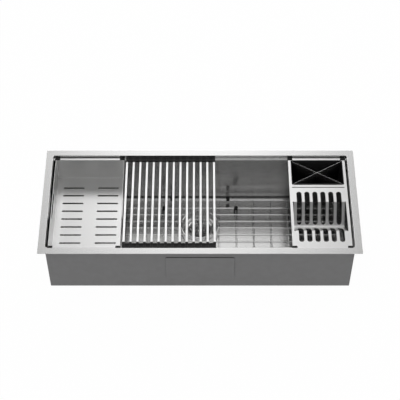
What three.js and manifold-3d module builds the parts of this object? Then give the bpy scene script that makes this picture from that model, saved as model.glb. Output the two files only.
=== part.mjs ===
// Workstation kitchen sink: a wide single bowl whose front and rear ledges carry a colander,
// a roll-up rack and a plate rack with a utensil box, over a wire grid and a basket strainer.
// Millimetres, +X right, +Y rear, +Z up. The origin is the centre of the flange's top face.

import * as THREE from 'three';
import { mergeVertices } from 'three/addons/utils/BufferGeometryUtils.js';
import Module from 'manifold-3d';

const wasm = await Module();
wasm.setup();

// ---------- Driving dimensions ----------

// Clearance between pieces that rest on each other, margin of a cut past a face, and the small
// flat kept at the middle of a slot's round end.
const seatGap = 0.3;
const cutMargin = 2;
const slotEndFlat = 0.01;

// Sink: sheet, flange, ledges and bowl.
const sinkWidth = 1143;
const sinkDepth = 470;
const bowlDepth = 238;
const sinkSheet = 1.5;
const flangeWidth = 26;
const ledgeDrop = 12;
const ledgeTread = 9.5;
const bowlCornerRadius = 6;
const bowlFloorRadius = 4;

// Drain recess in the bowl's floor.
const drainBehindCentre = 47;
const recessRadius = 60;
const recessDrop = 3;
const drainHoleRadius = 45;

// Sound pads on the outside of the bowl.
const padThickness = 3;
const padCornerRadius = 6;
const sidePadWidth = 246;
const sidePadHeight = 128;
const padBelowFlange = 57;
const floorPadWidth = 320;
const floorPadDepth = 246;
const floorPadFromDrain = 110;

// Basket strainer and tailpiece.
const strainerFlangeRadius = 57;
const strainerSheet = 1.6;
const cupRadius = 43;
const cupDepth = 48;
const spigotRadius = 22;
const spigotLength = 20;
const gasketThickness = 3;
const washerThickness = 1;
const locknutHeight = 11;
const locknutRadius = 53;
const locknutLugs = 8;
const locknutLugHeight = 5;
const locknutLugWidth = 12;
const tailpieceRadius = 19;
const tailpieceWall = 1;
const tailpieceLength = 105;
const tailWasherThickness = 2;
const slipNutRadius = 28;
const slipNutHeight = 16;
const slipNutFloor = 2;
const slipNutSides = 8;
const tailFlangeThickness = 2;
const basketLip = 4;
const basketLipDrop = 0.5;
const basketFootRadius = 24;
const basketDepth = 30;
const basketShoulderDrop = 8;
const basketSheet = 1;
const basketSlots = 12;
const basketSlotWidth = 3.2;
const basketSlotPastFoot = 5;
const basketSlotRise = 9;
const postRadius = 3.5;
const postRise = 19;
const postFlange = 3;
const postFlangeThickness = 2;
const knobRadius = 8.5;
const knobHeight = 7;
const knobUnderside = 1.5;
const knobChamfer = 2;
const stopperRadius = 27;
const stopperThickness = 4;
const drainSides = 24;

// Bottom grid.
const gridEndGap = 28.5;
const gridSideGap = 32.5;
const gridBehindCentre = 3;
const gridCornerRadius = 26;
const gridFrameRadius = 3;
const gridWireRadius = 2.5;
const gridAboveFloor = 23;
const longWireCount = 9;
const longWireInset = 42.6;
const crossWiresPerSide = 7;
const firstCrossWire = 72;
const crossWireInset = 52.6;
const gridRingRadius = 70;
const weldSink = 0.5;
const wireSides = 6;
const ringSides = 24;

// Rubber feet and bumpers on the grid.
const footRadius = 7.5;
const footSides = 12;
const footCrossWires = [1, 5];
const bumperRadius = 6.5;
const bumperLength = 13;
const bumperFromCentre = 107;

// What all three accessories share where they hang on the ledges.
const ledgeEndGap = 1.2;
const accessorySheet = 1.2;
const capBase = 1.3;
const capTop = 1.6;
const capLength = 18;
const capCornerRadius = 2;
const capOverhang = 0.6;
const capOverWall = 0.8;
const hangGap = 3;

// Colander.
const colanderFromLeftWall = 7.5;
const colanderWidth = 257;
const colanderDepth = 104;
const colanderCorner = 6;
const colanderFloorRadius = 5;
const drainSlotLength = 78;
const drainSlotWidth = 6.6;
const drainSlotPitch = 36.3;
const drainSlotRows = 9;
const drainSlotColumnPitch = 129.2;
const fingerHoleLength = 112;
const fingerHoleHeight = 30;
const fingerHoleDrop = 10;

// Roll-up rack.
const barCount = 14;
const barPitch = 24.8;
const barRadius = 4;
const barWall = 0.8;
const barSides = 8;
const rollupFromColander = 5;
const stripWidth = 26;
const stripWall = 1.5;
const stripEndWall = 3;
const stripWebThickness = 4.5;
const stripSides = 8;

// Plate rack.
const plateRackWidth = 213;
const plateRackFromRightWall = 6.2;
const plateRackRail = 10.5;
const plateRackSlit = 4;
const railLipDrop = 12;
const troughDepth = 64.5;
const troughShareOfDepth = 0.36277;
const plateSlots = 6;
const plateSlotPitch = 28.9;
const plateSlotWidth = 18.4;
const rearSlotFromCrossSlit = 19.2;
const rearSlotPastMiddle = 10;
const frontSlotFromRim = 29.8;
const frontSlotPastMiddle = 20.5;

// Utensil box, dropped into the rack between its rear strip and its crossbar.
const rackRearStrip = 14.5;
const rackCrossbar = 12.5;
const rackCrossSlit = 2.6;
const boxDepth = 112;
const boxHeight = 112;
const boxWall = 1.8;
const boxCornerRadius = 5;
const boxFloorRadius = 4;
const boxLipInset = 6;
const boxLipWidth = 1.6;
const boxLipThickness = 1.4;
const dividerThickness = 1.5;
const dividerBelowRim = 3;

// ---------- Places worked out from them ----------

const halfWidth = sinkWidth / 2;
const halfDepth = sinkDepth / 2;
const openingHalfWidth = halfWidth - flangeWidth;
const openingHalfDepth = halfDepth - flangeWidth;
const bowlHalfDepth = openingHalfDepth - ledgeTread;
const floorTop = -bowlDepth;
const treadTop = -ledgeDrop;
const recessTop = floorTop - recessDrop;
const rimTop = treadTop + seatGap + capBase + seatGap + accessorySheet;
const rimHalfDepth = openingHalfDepth - ledgeEndGap;
const hangHalfDepth = bowlHalfDepth - hangGap;
const capReach = rimHalfDepth + capOverhang - hangHalfDepth + capOverWall;
const capNotch = capOverhang + seatGap;
const gridWidth = 2 * (openingHalfWidth - gridEndGap);
const gridDepth = 2 * (bowlHalfDepth - gridSideGap);
const longWirePitch = (gridDepth - 2 * longWireInset) / (longWireCount - 1);
const crossWirePitch = (gridWidth / 2 - crossWireInset - firstCrossWire) / (crossWiresPerSide - 1);

// ---------- Materials ----------

function finish(color, roughness, metalness) {
  return new THREE.MeshStandardMaterial({ color, roughness, metalness });
}

const brushedSteel = () => finish(0xd6d6d4, 0.32, 1);
const polishedSteel = () => finish(0xe6e6e6, 0.18, 1);
const blackSilicone = () => finish(0x1b1b1c, 0.6, 0);
const blackPlastic = () => finish(0x141415, 0.3, 0);
const greyPad = () => finish(0x77797b, 0.9, 0);
const rubber = () => finish(0x232323, 0.8, 0);
const fibre = () => finish(0x8a7c63, 0.9, 0);
const chrome = () => finish(0xdadcde, 0.12, 1);

// ---------- Solids ----------

function solidOf(geometry) {
  const bare = geometry.clone();
  bare.deleteAttribute('normal');
  bare.deleteAttribute('uv');
  const welded = mergeVertices(bare, 1e-4);
  return new wasm.Manifold(new wasm.Mesh({
    numProp: 3,
    vertProperties: Float32Array.from(welded.attributes.position.array),
    triVerts: Uint32Array.from(welded.index.array),
  }));
}

function geometryOf(solid) {
  const { vertProperties, triVerts } = solid.getMesh();
  const geometry = new THREE.BufferGeometry();
  geometry.setAttribute('position', new THREE.BufferAttribute(Float32Array.from(vertProperties), 3));
  geometry.setIndex(new THREE.BufferAttribute(Uint32Array.from(triVerts), 1));
  geometry.computeVertexNormals();
  return geometry;
}

const joined = (solids) => solids.reduce((whole, solid) => whole.add(solid));
const cut = (solid, tools) => tools.reduce((rest, tool) => rest.subtract(tool), solid);

// A rectangle with round corners as points, counter-clockwise seen from above.
function roundedRectangle(width, depth, radius, steps = 5) {
  const points = [];
  const corners = [[1, 1], [-1, 1], [-1, -1], [1, -1]];
  corners.forEach(([sideX, sideY], corner) => {
    const centreX = sideX * (width / 2 - radius);
    const centreY = sideY * (depth / 2 - radius);
    for (let step = 0; step <= steps; step += 1) {
      const angle = (corner + step / steps) * Math.PI / 2;
      points.push(new THREE.Vector2(
        centreX + radius * Math.cos(angle),
        centreY + radius * Math.sin(angle),
      ));
    }
  });
  return points;
}

// A slot outline with round ends, its length along X.
const slotOutline = (length, width, steps = 3) => (
  roundedRectangle(length, width, width / 2 - slotEndFlat, steps)
);

function circleOutline(radius, sides) {
  return Array.from({ length: sides }, (_, i) => new THREE.Vector2(
    radius * Math.cos(2 * Math.PI * i / sides),
    radius * Math.sin(2 * Math.PI * i / sides),
  ));
}

// An outline drawn in X and Y, filled from one height to another.
function slab(outline, low, high, x = 0, y = 0) {
  const shape = new THREE.Shape(outline);
  const geometry = new THREE.ExtrudeGeometry(shape, { depth: high - low, bevelEnabled: false });
  geometry.translate(x, y, low);
  return solidOf(geometry);
}

function block(lowX, highX, lowY, highY, lowZ, highZ) {
  const geometry = new THREE.BoxGeometry(highX - lowX, highY - lowY, highZ - lowZ);
  geometry.translate((lowX + highX) / 2, (lowY + highY) / 2, (lowZ + highZ) / 2);
  return solidOf(geometry);
}

// An outline drawn in Y and Z, run along X.
function alongX(outline, lowX, highX) {
  const shape = new THREE.Shape(outline);
  const geometry = new THREE.ExtrudeGeometry(shape, { depth: highX - lowX, bevelEnabled: false });
  geometry.rotateX(Math.PI / 2);
  geometry.rotateZ(Math.PI / 2);
  geometry.translate(lowX, 0, 0);
  return solidOf(geometry);
}

// A profile of radius and height, listed up the outside and down the inside, turned about Z.
function turned(profile, sides, x = 0, y = 0) {
  const geometry = new THREE.LatheGeometry(profile.map(([r, z]) => new THREE.Vector2(r, z)), sides);
  geometry.rotateX(Math.PI / 2);
  geometry.translate(x, y, 0);
  return solidOf(geometry);
}

function ring(innerRadius, outerRadius, low, high, sides, x = 0, y = 0) {
  const profile = [
    [outerRadius, low],
    [outerRadius, high],
    [innerRadius, high],
    [innerRadius, low],
    [outerRadius, low],
  ];
  return turned(profile, sides, x, y);
}

// A straight round rod between two points, with two of its flats level.
function rod(from, to, radius, sides) {
  const start = new THREE.Vector3(...from);
  const run = new THREE.Vector3(...to).sub(start);
  const geometry = new THREE.CylinderGeometry(radius, radius, run.length(), sides);
  geometry.rotateY(Math.PI / sides);
  geometry.rotateX(Math.PI / 2);
  const turn = new THREE.Matrix4().lookAt(new THREE.Vector3(), run, new THREE.Vector3(0, 0, 1));
  geometry.applyMatrix4(turn);
  geometry.translate(...start.addScaledVector(run, 0.5).toArray());
  return solidOf(geometry);
}

// Outlines of equal point counts, stacked from the lowest up and closed at both ends.
function stacked(levels) {
  const count = levels[0].outline.length;
  const positions = levels.flatMap(({ outline, z }) => outline.flatMap((p) => [p.x, p.y, z]));
  const faces = [];
  for (let i = 1; i < count - 1; i += 1) {
    const top = (levels.length - 1) * count;
    faces.push(0, i + 1, i);
    faces.push(top, top + i, top + i + 1);
  }
  for (let level = 0; level < levels.length - 1; level += 1) {
    for (let i = 0; i < count; i += 1) {
      const a = level * count + i;
      const b = level * count + (i + 1) % count;
      faces.push(a, b, b + count);
      faces.push(a, b + count, a + count);
    }
  }
  const geometry = new THREE.BufferGeometry();
  geometry.setAttribute('position', new THREE.Float32BufferAttribute(positions, 3));
  geometry.setIndex(faces);
  return solidOf(geometry);
}

// A tub with upright walls and a rolled edge round its floor.
function tub({ width, depth, corner, floorRadius, bottom, top, steps = 4 }) {
  const levels = [];
  for (let step = 0; step <= steps; step += 1) {
    const angle = step / steps * Math.PI / 2;
    const inset = floorRadius * (1 - Math.sin(angle));
    levels.push({
      outline: roundedRectangle(width - 2 * inset, depth - 2 * inset, corner - inset),
      z: bottom + floorRadius * (1 - Math.cos(angle)),
    });
  }
  levels.push({ outline: roundedRectangle(width, depth, corner), z: top });
  return stacked(levels);
}

// ---------- Scene graph ----------

const group = new THREE.Group();

function place(parent, name, solid, material) {
  const mesh = new THREE.Mesh(geometryOf(solid), material);
  mesh.name = name;
  parent.add(mesh);
}

// ---------- Sink bowl ----------

const basin = new THREE.Group();
group.add(basin);

function makeBowl() {
  const skin = sinkSheet;
  const flange = block(-halfWidth, halfWidth, -halfDepth, halfDepth, -skin, 0);
  const ledgeBox = slab(
    roundedRectangle(2 * (openingHalfWidth + skin), 2 * (openingHalfDepth + skin), bowlCornerRadius + skin),
    treadTop - skin,
    -skin / 2,
  );
  const shell = tub({
    width: 2 * (openingHalfWidth + skin),
    depth: 2 * (bowlHalfDepth + skin),
    corner: bowlCornerRadius + skin,
    floorRadius: bowlFloorRadius + skin,
    bottom: floorTop - skin,
    top: -skin / 2,
  });
  const recessBoss = slab(
    circleOutline(recessRadius + skin, drainSides),
    recessTop - skin,
    floorTop - skin / 2,
    0,
    drainBehindCentre,
  );
  const opening = slab(
    roundedRectangle(2 * openingHalfWidth, 2 * openingHalfDepth, bowlCornerRadius),
    treadTop,
    cutMargin,
  );
  const hollow = tub({
    width: 2 * openingHalfWidth,
    depth: 2 * bowlHalfDepth,
    corner: bowlCornerRadius,
    floorRadius: bowlFloorRadius,
    bottom: floorTop,
    top: cutMargin,
  });
  const recess = slab(
    circleOutline(recessRadius, drainSides),
    recessTop,
    floorTop + cutMargin,
    0,
    drainBehindCentre,
  );
  const drainHole = slab(
    circleOutline(drainHoleRadius, drainSides),
    recessTop - skin - cutMargin,
    floorTop + cutMargin,
    0,
    drainBehindCentre,
  );
  return cut(joined([flange, ledgeBox, shell, recessBoss]), [opening, hollow, recess, drainHole]);
}

place(basin, 'sink_bowl', makeBowl(), brushedSteel());

// ---------- Insulating panels ----------

const outerHalfDepth = bowlHalfDepth + sinkSheet;
const outerHalfWidth = openingHalfWidth + sinkSheet;
const panelFace = openingHalfDepth + sinkSheet;

// The front and rear walls step in below their ledges, and a panel fills out each step.
[['front', -1], ['rear', 1]].forEach(([side, sign]) => {
  const back = outerHalfDepth + seatGap;
  const panel = block(
    -outerHalfWidth,
    outerHalfWidth,
    Math.min(sign * back, sign * panelFace),
    Math.max(sign * back, sign * panelFace),
    floorTop - sinkSheet,
    treadTop - sinkSheet - seatGap,
  );
  place(basin, `insulation_${side}`, panel, greyPad());
});

// ---------- Sound pads ----------

// A pad on an upright wall, drawn flat and then stood against the face at a distance from the middle.
function wallPad(width, distance, turn) {
  const middle = -padBelowFlange - sidePadHeight / 2;
  const shape = new THREE.Shape(roundedRectangle(width, sidePadHeight, padCornerRadius));
  const geometry = new THREE.ExtrudeGeometry(shape, { depth: padThickness, bevelEnabled: false });
  geometry.rotateX(Math.PI / 2);
  geometry.translate(0, -distance - seatGap, middle);
  geometry.rotateZ(turn);
  return solidOf(geometry);
}

place(basin, 'sound_pad_front', wallPad(sidePadWidth, panelFace, 0), greyPad());
place(basin, 'sound_pad_rear', wallPad(sidePadWidth, panelFace, Math.PI), greyPad());
place(basin, 'sound_pad_left', wallPad(sidePadWidth, outerHalfWidth, -Math.PI / 2), greyPad());
place(basin, 'sound_pad_right', wallPad(sidePadWidth, outerHalfWidth, Math.PI / 2), greyPad());

[['left', -1], ['right', 1]].forEach(([side, sign]) => {
  const top = floorTop - sinkSheet - seatGap;
  const outline = roundedRectangle(floorPadWidth, floorPadDepth, padCornerRadius);
  const x = sign * (floorPadFromDrain + floorPadWidth / 2);
  place(basin, `sound_pad_bottom_${side}`, slab(outline, top - padThickness, top, x), greyPad());
});

// ---------- Basket strainer ----------

const strainer = new THREE.Group();
strainer.position.set(0, drainBehindCentre, 0);
group.add(strainer);

const strainerSeat = recessTop + seatGap;
const strainerTop = strainerSeat + strainerSheet;
const cupFloor = strainerTop - cupDepth;
const spigotEnd = cupFloor - strainerSheet - spigotLength;
const underSink = recessTop - sinkSheet - seatGap;

function makeStrainerBody() {
  const wall = strainerSheet;
  return turned([
    [spigotRadius, spigotEnd],
    [spigotRadius, cupFloor - wall],
    [cupRadius, cupFloor - wall],
    [cupRadius, strainerSeat],
    [strainerFlangeRadius, strainerSeat],
    [strainerFlangeRadius, strainerTop - wall / 2],
    [strainerFlangeRadius - wall, strainerTop],
    [cupRadius + wall, strainerTop - wall / 4],
    [cupRadius - wall, strainerTop - 2 * wall],
    [cupRadius - wall, cupFloor],
    [spigotRadius - wall, cupFloor],
    [spigotRadius - wall, spigotEnd],
    [spigotRadius, spigotEnd],
  ], drainSides);
}

function makeLocknut(top) {
  const outer = slab(circleOutline(locknutRadius, drainSides), top - locknutHeight, top);
  const reach = locknutRadius + locknutLugHeight;
  const lug = block(
    -locknutLugWidth / 2,
    locknutLugWidth / 2,
    locknutRadius - locknutLugHeight,
    reach,
    top - locknutHeight,
    top,
  );
  const lugs = Array.from({ length: locknutLugs }, (_, i) => lug.rotate([0, 0, 360 * i / locknutLugs]));
  const bore = slab(
    circleOutline(cupRadius + seatGap, drainSides),
    top - locknutHeight - cutMargin,
    top + cutMargin,
  );
  return cut(joined([outer, ...lugs]), [bore]);
}

const basketSeat = strainerTop - basketLipDrop;
const basketFloor = basketSeat - basketDepth;

function makeBasket() {
  const wall = basketSheet;
  const rim = cupRadius - basketLip;
  const shoulder = basketSeat - basketShoulderDrop;
  const shell = turned([
    [0, basketFloor - wall],
    [basketFootRadius, basketFloor - wall],
    [rim, shoulder],
    [rim, basketSeat - wall],
    [cupRadius, basketSeat - wall],
    [cupRadius, basketSeat],
    [rim - wall, basketSeat],
    [rim - wall, shoulder + wall / 2],
    [basketFootRadius - wall, basketFloor],
    [0, basketFloor],
  ], drainSides);
  const slot = block(
    basketFootRadius / 2,
    basketFootRadius + basketSlotPastFoot,
    -basketSlotWidth / 2,
    basketSlotWidth / 2,
    basketFloor - wall - cutMargin,
    basketFloor + basketSlotRise,
  );
  const slots = Array.from({ length: basketSlots }, (_, i) => slot.rotate([0, 0, 360 * i / basketSlots]));
  const postHole = slab(
    circleOutline(postRadius + seatGap, drainSides),
    basketFloor - wall - cutMargin,
    basketFloor + cutMargin,
  );
  return cut(shell, [...slots, postHole]);
}

const postFoot = basketFloor - basketSheet - seatGap - stopperThickness - seatGap;

function makePost() {
  const knobBase = basketFloor + postRise;
  const flange = postRadius + postFlange;
  return turned([
    [0, postFoot - postFlangeThickness],
    [flange, postFoot - postFlangeThickness],
    [flange, postFoot],
    [postRadius, postFoot],
    [postRadius, knobBase],
    [knobRadius, knobBase + knobUnderside],
    [knobRadius, knobBase + knobHeight - knobChamfer],
    [knobRadius - knobChamfer, knobBase + knobHeight],
    [0, knobBase + knobHeight],
  ], drainSides);
}

const gasketTop = underSink;
const washerTop = gasketTop - gasketThickness - seatGap;
const locknutTop = washerTop - washerThickness - seatGap;
const clampBore = cupRadius + seatGap;
const stopperTop = basketFloor - basketSheet - seatGap;
const tailWasherTop = spigotEnd - seatGap;
const tailFlangeTop = tailWasherTop - tailWasherThickness - seatGap;

function makeTailpiece() {
  const inner = tailpieceRadius - tailpieceWall;
  return turned([
    [tailpieceRadius, tailFlangeTop - tailpieceLength],
    [tailpieceRadius, tailFlangeTop - tailFlangeThickness],
    [spigotRadius, tailFlangeTop - tailFlangeThickness],
    [spigotRadius, tailFlangeTop],
    [inner, tailFlangeTop],
    [inner, tailFlangeTop - tailpieceLength],
    [tailpieceRadius, tailFlangeTop - tailpieceLength],
  ], drainSides);
}

function makeSlipNut() {
  const base = tailFlangeTop - tailFlangeThickness - seatGap - slipNutFloor;
  const body = slab(circleOutline(slipNutRadius, slipNutSides), base, base + slipNutHeight);
  const threadBore = slab(
    circleOutline(spigotRadius + seatGap, drainSides),
    base + slipNutFloor,
    base + slipNutHeight + cutMargin,
  );
  const throat = slab(
    circleOutline(tailpieceRadius + seatGap, drainSides),
    base - cutMargin,
    base + slipNutHeight,
  );
  return cut(body, [threadBore, throat]);
}

place(strainer, 'strainer_body', makeStrainerBody(), brushedSteel());
place(
  strainer,
  'strainer_gasket',
  ring(clampBore, strainerFlangeRadius, gasketTop - gasketThickness, gasketTop, drainSides),
  rubber(),
);
place(
  strainer,
  'friction_washer',
  ring(clampBore, strainerFlangeRadius, washerTop - washerThickness, washerTop, drainSides),
  fibre(),
);
place(strainer, 'locknut', makeLocknut(locknutTop), chrome());
place(strainer, 'strainer_basket', makeBasket(), brushedSteel());
place(strainer, 'basket_post', makePost(), brushedSteel());
place(
  strainer,
  'basket_stopper',
  ring(postRadius + seatGap, stopperRadius, stopperTop - stopperThickness, stopperTop, drainSides),
  rubber(),
);
place(
  strainer,
  'tailpiece_washer',
  ring(tailpieceRadius - tailpieceWall, spigotRadius, tailWasherTop - tailWasherThickness, tailWasherTop,
    drainSides),
  rubber(),
);
place(strainer, 'tailpiece', makeTailpiece(), chrome());
place(strainer, 'slip_nut', makeSlipNut(), chrome());

// ---------- Bottom grid ----------

const gridGroup = new THREE.Group();
gridGroup.position.set(0, gridBehindCentre, floorTop + gridAboveFloor);
group.add(gridGroup);

// Within the grid's group, the long wires' centres are at height 0 and the cross wires lie below.
const levelFlat = Math.cos(Math.PI / wireSides);
const crossWireDrop = 2 * gridWireRadius * levelFlat - weldSink;
const drainInGrid = drainBehindCentre - gridBehindCentre;
const frameHalfWidth = gridWidth / 2 - gridFrameRadius;
const frameHalfDepth = gridDepth / 2 - gridFrameRadius;

// A closed loop of wire in a level plane, mitred at each point.
function sweptLoop(points, radius) {
  const positions = [];
  const faces = [];
  const count = points.length;
  points.forEach((point, i) => {
    const before = points[(i + count - 1) % count];
    const after = points[(i + 1) % count];
    const arrive = point.clone().sub(before).normalize();
    const leave = after.clone().sub(point).normalize();
    const along = arrive.clone().add(leave).normalize();
    const outward = new THREE.Vector3(along.y, -along.x, 0);
    const stretch = 1 / along.dot(arrive);
    for (let side = 0; side < wireSides; side += 1) {
      const angle = 2 * Math.PI * side / wireSides;
      const reach = radius * Math.cos(angle) * stretch;
      positions.push(
        point.x + outward.x * reach,
        point.y + outward.y * reach,
        point.z + radius * Math.sin(angle),
      );
    }
  });
  for (let i = 0; i < count; i += 1) {
    for (let side = 0; side < wireSides; side += 1) {
      const nextSide = (side + 1) % wireSides;
      const a = i * wireSides + side;
      const b = i * wireSides + nextSide;
      const c = (i + 1) % count * wireSides + side;
      const d = (i + 1) % count * wireSides + nextSide;
      faces.push(a, c, d);
      faces.push(a, d, b);
    }
  }
  const geometry = new THREE.BufferGeometry();
  geometry.setAttribute('position', new THREE.Float32BufferAttribute(positions, 3));
  geometry.setIndex(faces);
  return solidOf(geometry);
}

const longWireHeights = Array.from(
  { length: longWireCount },
  (_, i) => (i - (longWireCount - 1) / 2) * longWirePitch,
);
const crossWireColumns = Array.from(
  { length: 2 * crossWiresPerSide },
  (_, i) => (i < crossWiresPerSide ? -1 : 1) * (firstCrossWire + (i % crossWiresPerSide) * crossWirePitch),
);

// Long wires stop at the ring round the drain.
function makeLongWire(y) {
  const radius = gridWireRadius;
  const fromDrain = Math.abs(y - drainInGrid);
  if (fromDrain >= gridRingRadius) {
    return [rod([-frameHalfWidth, y, 0], [frameHalfWidth, y, 0], radius, wireSides)];
  }
  const stop = Math.sqrt(gridRingRadius ** 2 - fromDrain ** 2);
  return [
    rod([-frameHalfWidth, y, 0], [-stop, y, 0], radius, wireSides),
    rod([stop, y, 0], [frameHalfWidth, y, 0], radius, wireSides),
  ];
}

function makeCrossWire(x) {
  const z = -crossWireDrop;
  return rod([x, -frameHalfDepth, z], [x, frameHalfDepth, z], gridWireRadius, wireSides);
}

function makeGrid() {
  const frame = roundedRectangle(2 * frameHalfWidth, 2 * frameHalfDepth, gridCornerRadius, 4)
    .map((point) => new THREE.Vector3(point.x, point.y, 0));
  const drainRing = circleOutline(gridRingRadius, ringSides)
    .map((point) => new THREE.Vector3(point.x, point.y + drainInGrid, 0));
  return joined([
    sweptLoop(frame, gridFrameRadius),
    sweptLoop(drainRing, gridWireRadius),
    ...longWireHeights.flatMap((y) => makeLongWire(y)),
    ...crossWireColumns.map((x) => makeCrossWire(x)),
  ]);
}

place(gridGroup, 'bottom_grid', makeGrid(), polishedSteel());

// Feet are slotted over the crossings of the outermost long wires and four cross wires.
const footRows = [['front', longWireHeights[0]], ['rear', longWireHeights[longWireCount - 1]]];
const footBottom = -gridAboveFloor + seatGap;

function makeFoot(x, y) {
  const gap = gridWireRadius + seatGap;
  const body = turned([
    [0, footBottom],
    [footRadius, footBottom],
    [footRadius, gridWireRadius],
    [0, gridWireRadius],
  ], footSides, x, y);
  const reach = 2 * footRadius;
  return cut(body, [
    block(x - reach, x + reach, y - gap, y + gap, -gap, reach),
    block(x - gap, x + gap, y - reach, y + reach, -crossWireDrop - gap, reach),
  ]);
}

footRows.forEach(([row, y]) => {
  footCrossWires.forEach((wireNumber) => {
    [['left', -1], ['right', 1]].forEach(([side, sign]) => {
      const x = sign * (firstCrossWire + wireNumber * crossWirePitch);
      place(gridGroup, `grid_foot_${row}_${side}_${wireNumber}`, makeFoot(x, y), rubber());
    });
  });
});

// Bumpers are sleeves on the frame that keep it off the bowl's front and rear walls.
[['front', -1], ['rear', 1]].forEach(([row, rowSign]) => {
  [['left', -1], ['right', 1]].forEach(([side, sign]) => {
    const y = rowSign * frameHalfDepth;
    const start = sign * bumperFromCentre - bumperLength / 2;
    const end = start + bumperLength;
    const sleeve = rod([start, y, 0], [end, y, 0], bumperRadius, footSides);
    const bore = rod(
      [start - cutMargin, y, 0],
      [end + cutMargin, y, 0],
      gridFrameRadius + seatGap,
      wireSides * 2,
    );
    place(gridGroup, `grid_bumper_${row}_${side}`, cut(sleeve, [bore]), rubber());
  });
});

// ---------- Corner caps shared by the colander and the plate rack ----------

// Each cap clips over a corner of a rim and keeps the steel off the ledge. Its top reaches over the
// wall that hangs from the rim, and its jaw underneath stops short of that wall.
function makeCornerCap(rimLeft, rimRight, sideX, sideY) {
  const outerX = (sideX < 0 ? rimLeft : rimRight) + sideX * capOverhang;
  const outerY = sideY * (rimHalfDepth + capOverhang);
  const innerX = outerX - sideX * capLength;
  const innerY = outerY - sideY * capReach;
  const rimBottom = rimTop - accessorySheet;
  const skirtX = outerX - sideX * (2 * capOverhang);
  const low = rimBottom - seatGap - capBase;
  const body = slab(
    roundedRectangle(capLength, capReach, capCornerRadius, 3),
    low,
    rimTop + seatGap + capTop,
    (outerX + innerX) / 2,
    (outerY + innerY) / 2,
  );
  const rimSlot = block(
    Math.min(skirtX, innerX - sideX * cutMargin),
    Math.max(skirtX, innerX - sideX * cutMargin),
    Math.min(outerY - sideY * 2 * capOverhang, innerY - sideY * cutMargin),
    Math.max(outerY - sideY * 2 * capOverhang, innerY - sideY * cutMargin),
    rimBottom - seatGap,
    rimTop + seatGap,
  );
  const wallSlot = block(
    Math.min(outerX, innerX) - cutMargin,
    Math.max(outerX, innerX) + cutMargin,
    Math.min(sideY * (hangHalfDepth + seatGap), innerY - sideY * cutMargin),
    Math.max(sideY * (hangHalfDepth + seatGap), innerY - sideY * cutMargin),
    low - cutMargin,
    rimTop + seatGap,
  );
  return cut(body, [rimSlot, wallSlot]);
}

function placeCornerCaps(parent, label, rimLeft, rimRight) {
  [['front', -1], ['rear', 1]].forEach(([row, sideY]) => {
    [['left', -1], ['right', 1]].forEach(([side, sideX]) => {
      const cap = makeCornerCap(rimLeft, rimRight, sideX, sideY);
      place(parent, `${label}_cap_${row}_${side}`, cap, blackSilicone());
    });
  });
}

// ---------- Colander ----------

const colanderGroup = new THREE.Group();
group.add(colanderGroup);

const colanderLeft = -openingHalfWidth + colanderFromLeftWall;
const colanderRight = colanderLeft + colanderWidth;
const colanderMiddle = (colanderLeft + colanderRight) / 2;
const colanderBottom = rimTop - colanderDepth;

function makeColander() {
  const skin = accessorySheet;
  const hollowWidth = colanderWidth - 2 * (capNotch + skin);
  const hollowDepth = 2 * (hangHalfDepth - skin);
  const tubShape = (grow, top) => tub({
    width: hollowWidth + 2 * grow,
    depth: hollowDepth + 2 * grow,
    corner: colanderCorner + grow,
    floorRadius: colanderFloorRadius + grow,
    bottom: colanderBottom - grow,
    top,
  }).translate([colanderMiddle, 0, 0]);
  const rim = block(
    colanderLeft + capNotch,
    colanderRight - capNotch,
    -rimHalfDepth + capNotch,
    rimHalfDepth - capNotch,
    rimTop - skin,
    rimTop,
  );
  const slot = slab(
    slotOutline(drainSlotLength, drainSlotWidth),
    colanderBottom - skin - cutMargin,
    colanderBottom + cutMargin,
  );
  const slots = [];
  for (let row = 0; row < drainSlotRows; row += 1) {
    const y = (row - (drainSlotRows - 1) / 2) * drainSlotPitch;
    [-1, 1].forEach((side) => {
      slots.push(slot.translate([colanderMiddle + side * drainSlotColumnPitch / 2, y, 0]));
    });
  }
  const fingerHoleOutline = slotOutline(fingerHoleLength, fingerHoleHeight)
    .map((point) => point.add(new THREE.Vector2(0, rimTop - fingerHoleDrop - fingerHoleHeight / 2)));
  const fingerHoles = alongX(fingerHoleOutline, colanderLeft - cutMargin, colanderRight + cutMargin);
  const shell = joined([rim, tubShape(skin, rimTop - skin / 2)]);
  return cut(shell, [tubShape(0, rimTop + cutMargin), ...slots, fingerHoles]);
}

place(colanderGroup, 'colander', makeColander(), brushedSteel());
placeCornerCaps(colanderGroup, 'colander', colanderLeft, colanderRight);

// ---------- Roll-up rack ----------

const rollupGroup = new THREE.Group();
group.add(rollupGroup);

const stripRadius = barRadius + stripWall;
const barHeight = treadTop + seatGap + stripRadius * Math.cos(Math.PI / stripSides);
const firstBar = colanderRight + rollupFromColander + stripRadius;
const barHalfLength = rimHalfDepth - stripEndWall;
const barAt = (number) => firstBar + (number - 1) * barPitch;
const barNumbers = Array.from({ length: barCount }, (_, i) => i + 1);

function makeBar(number) {
  const x = barAt(number);
  const tube = rod([x, -barHalfLength, barHeight], [x, barHalfLength, barHeight], barRadius, barSides);
  const bore = rod(
    [x, -barHalfLength - cutMargin, barHeight],
    [x, barHalfLength + cutMargin, barHeight],
    barRadius - barWall,
    barSides,
  );
  return cut(tube, [bore]);
}

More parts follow.
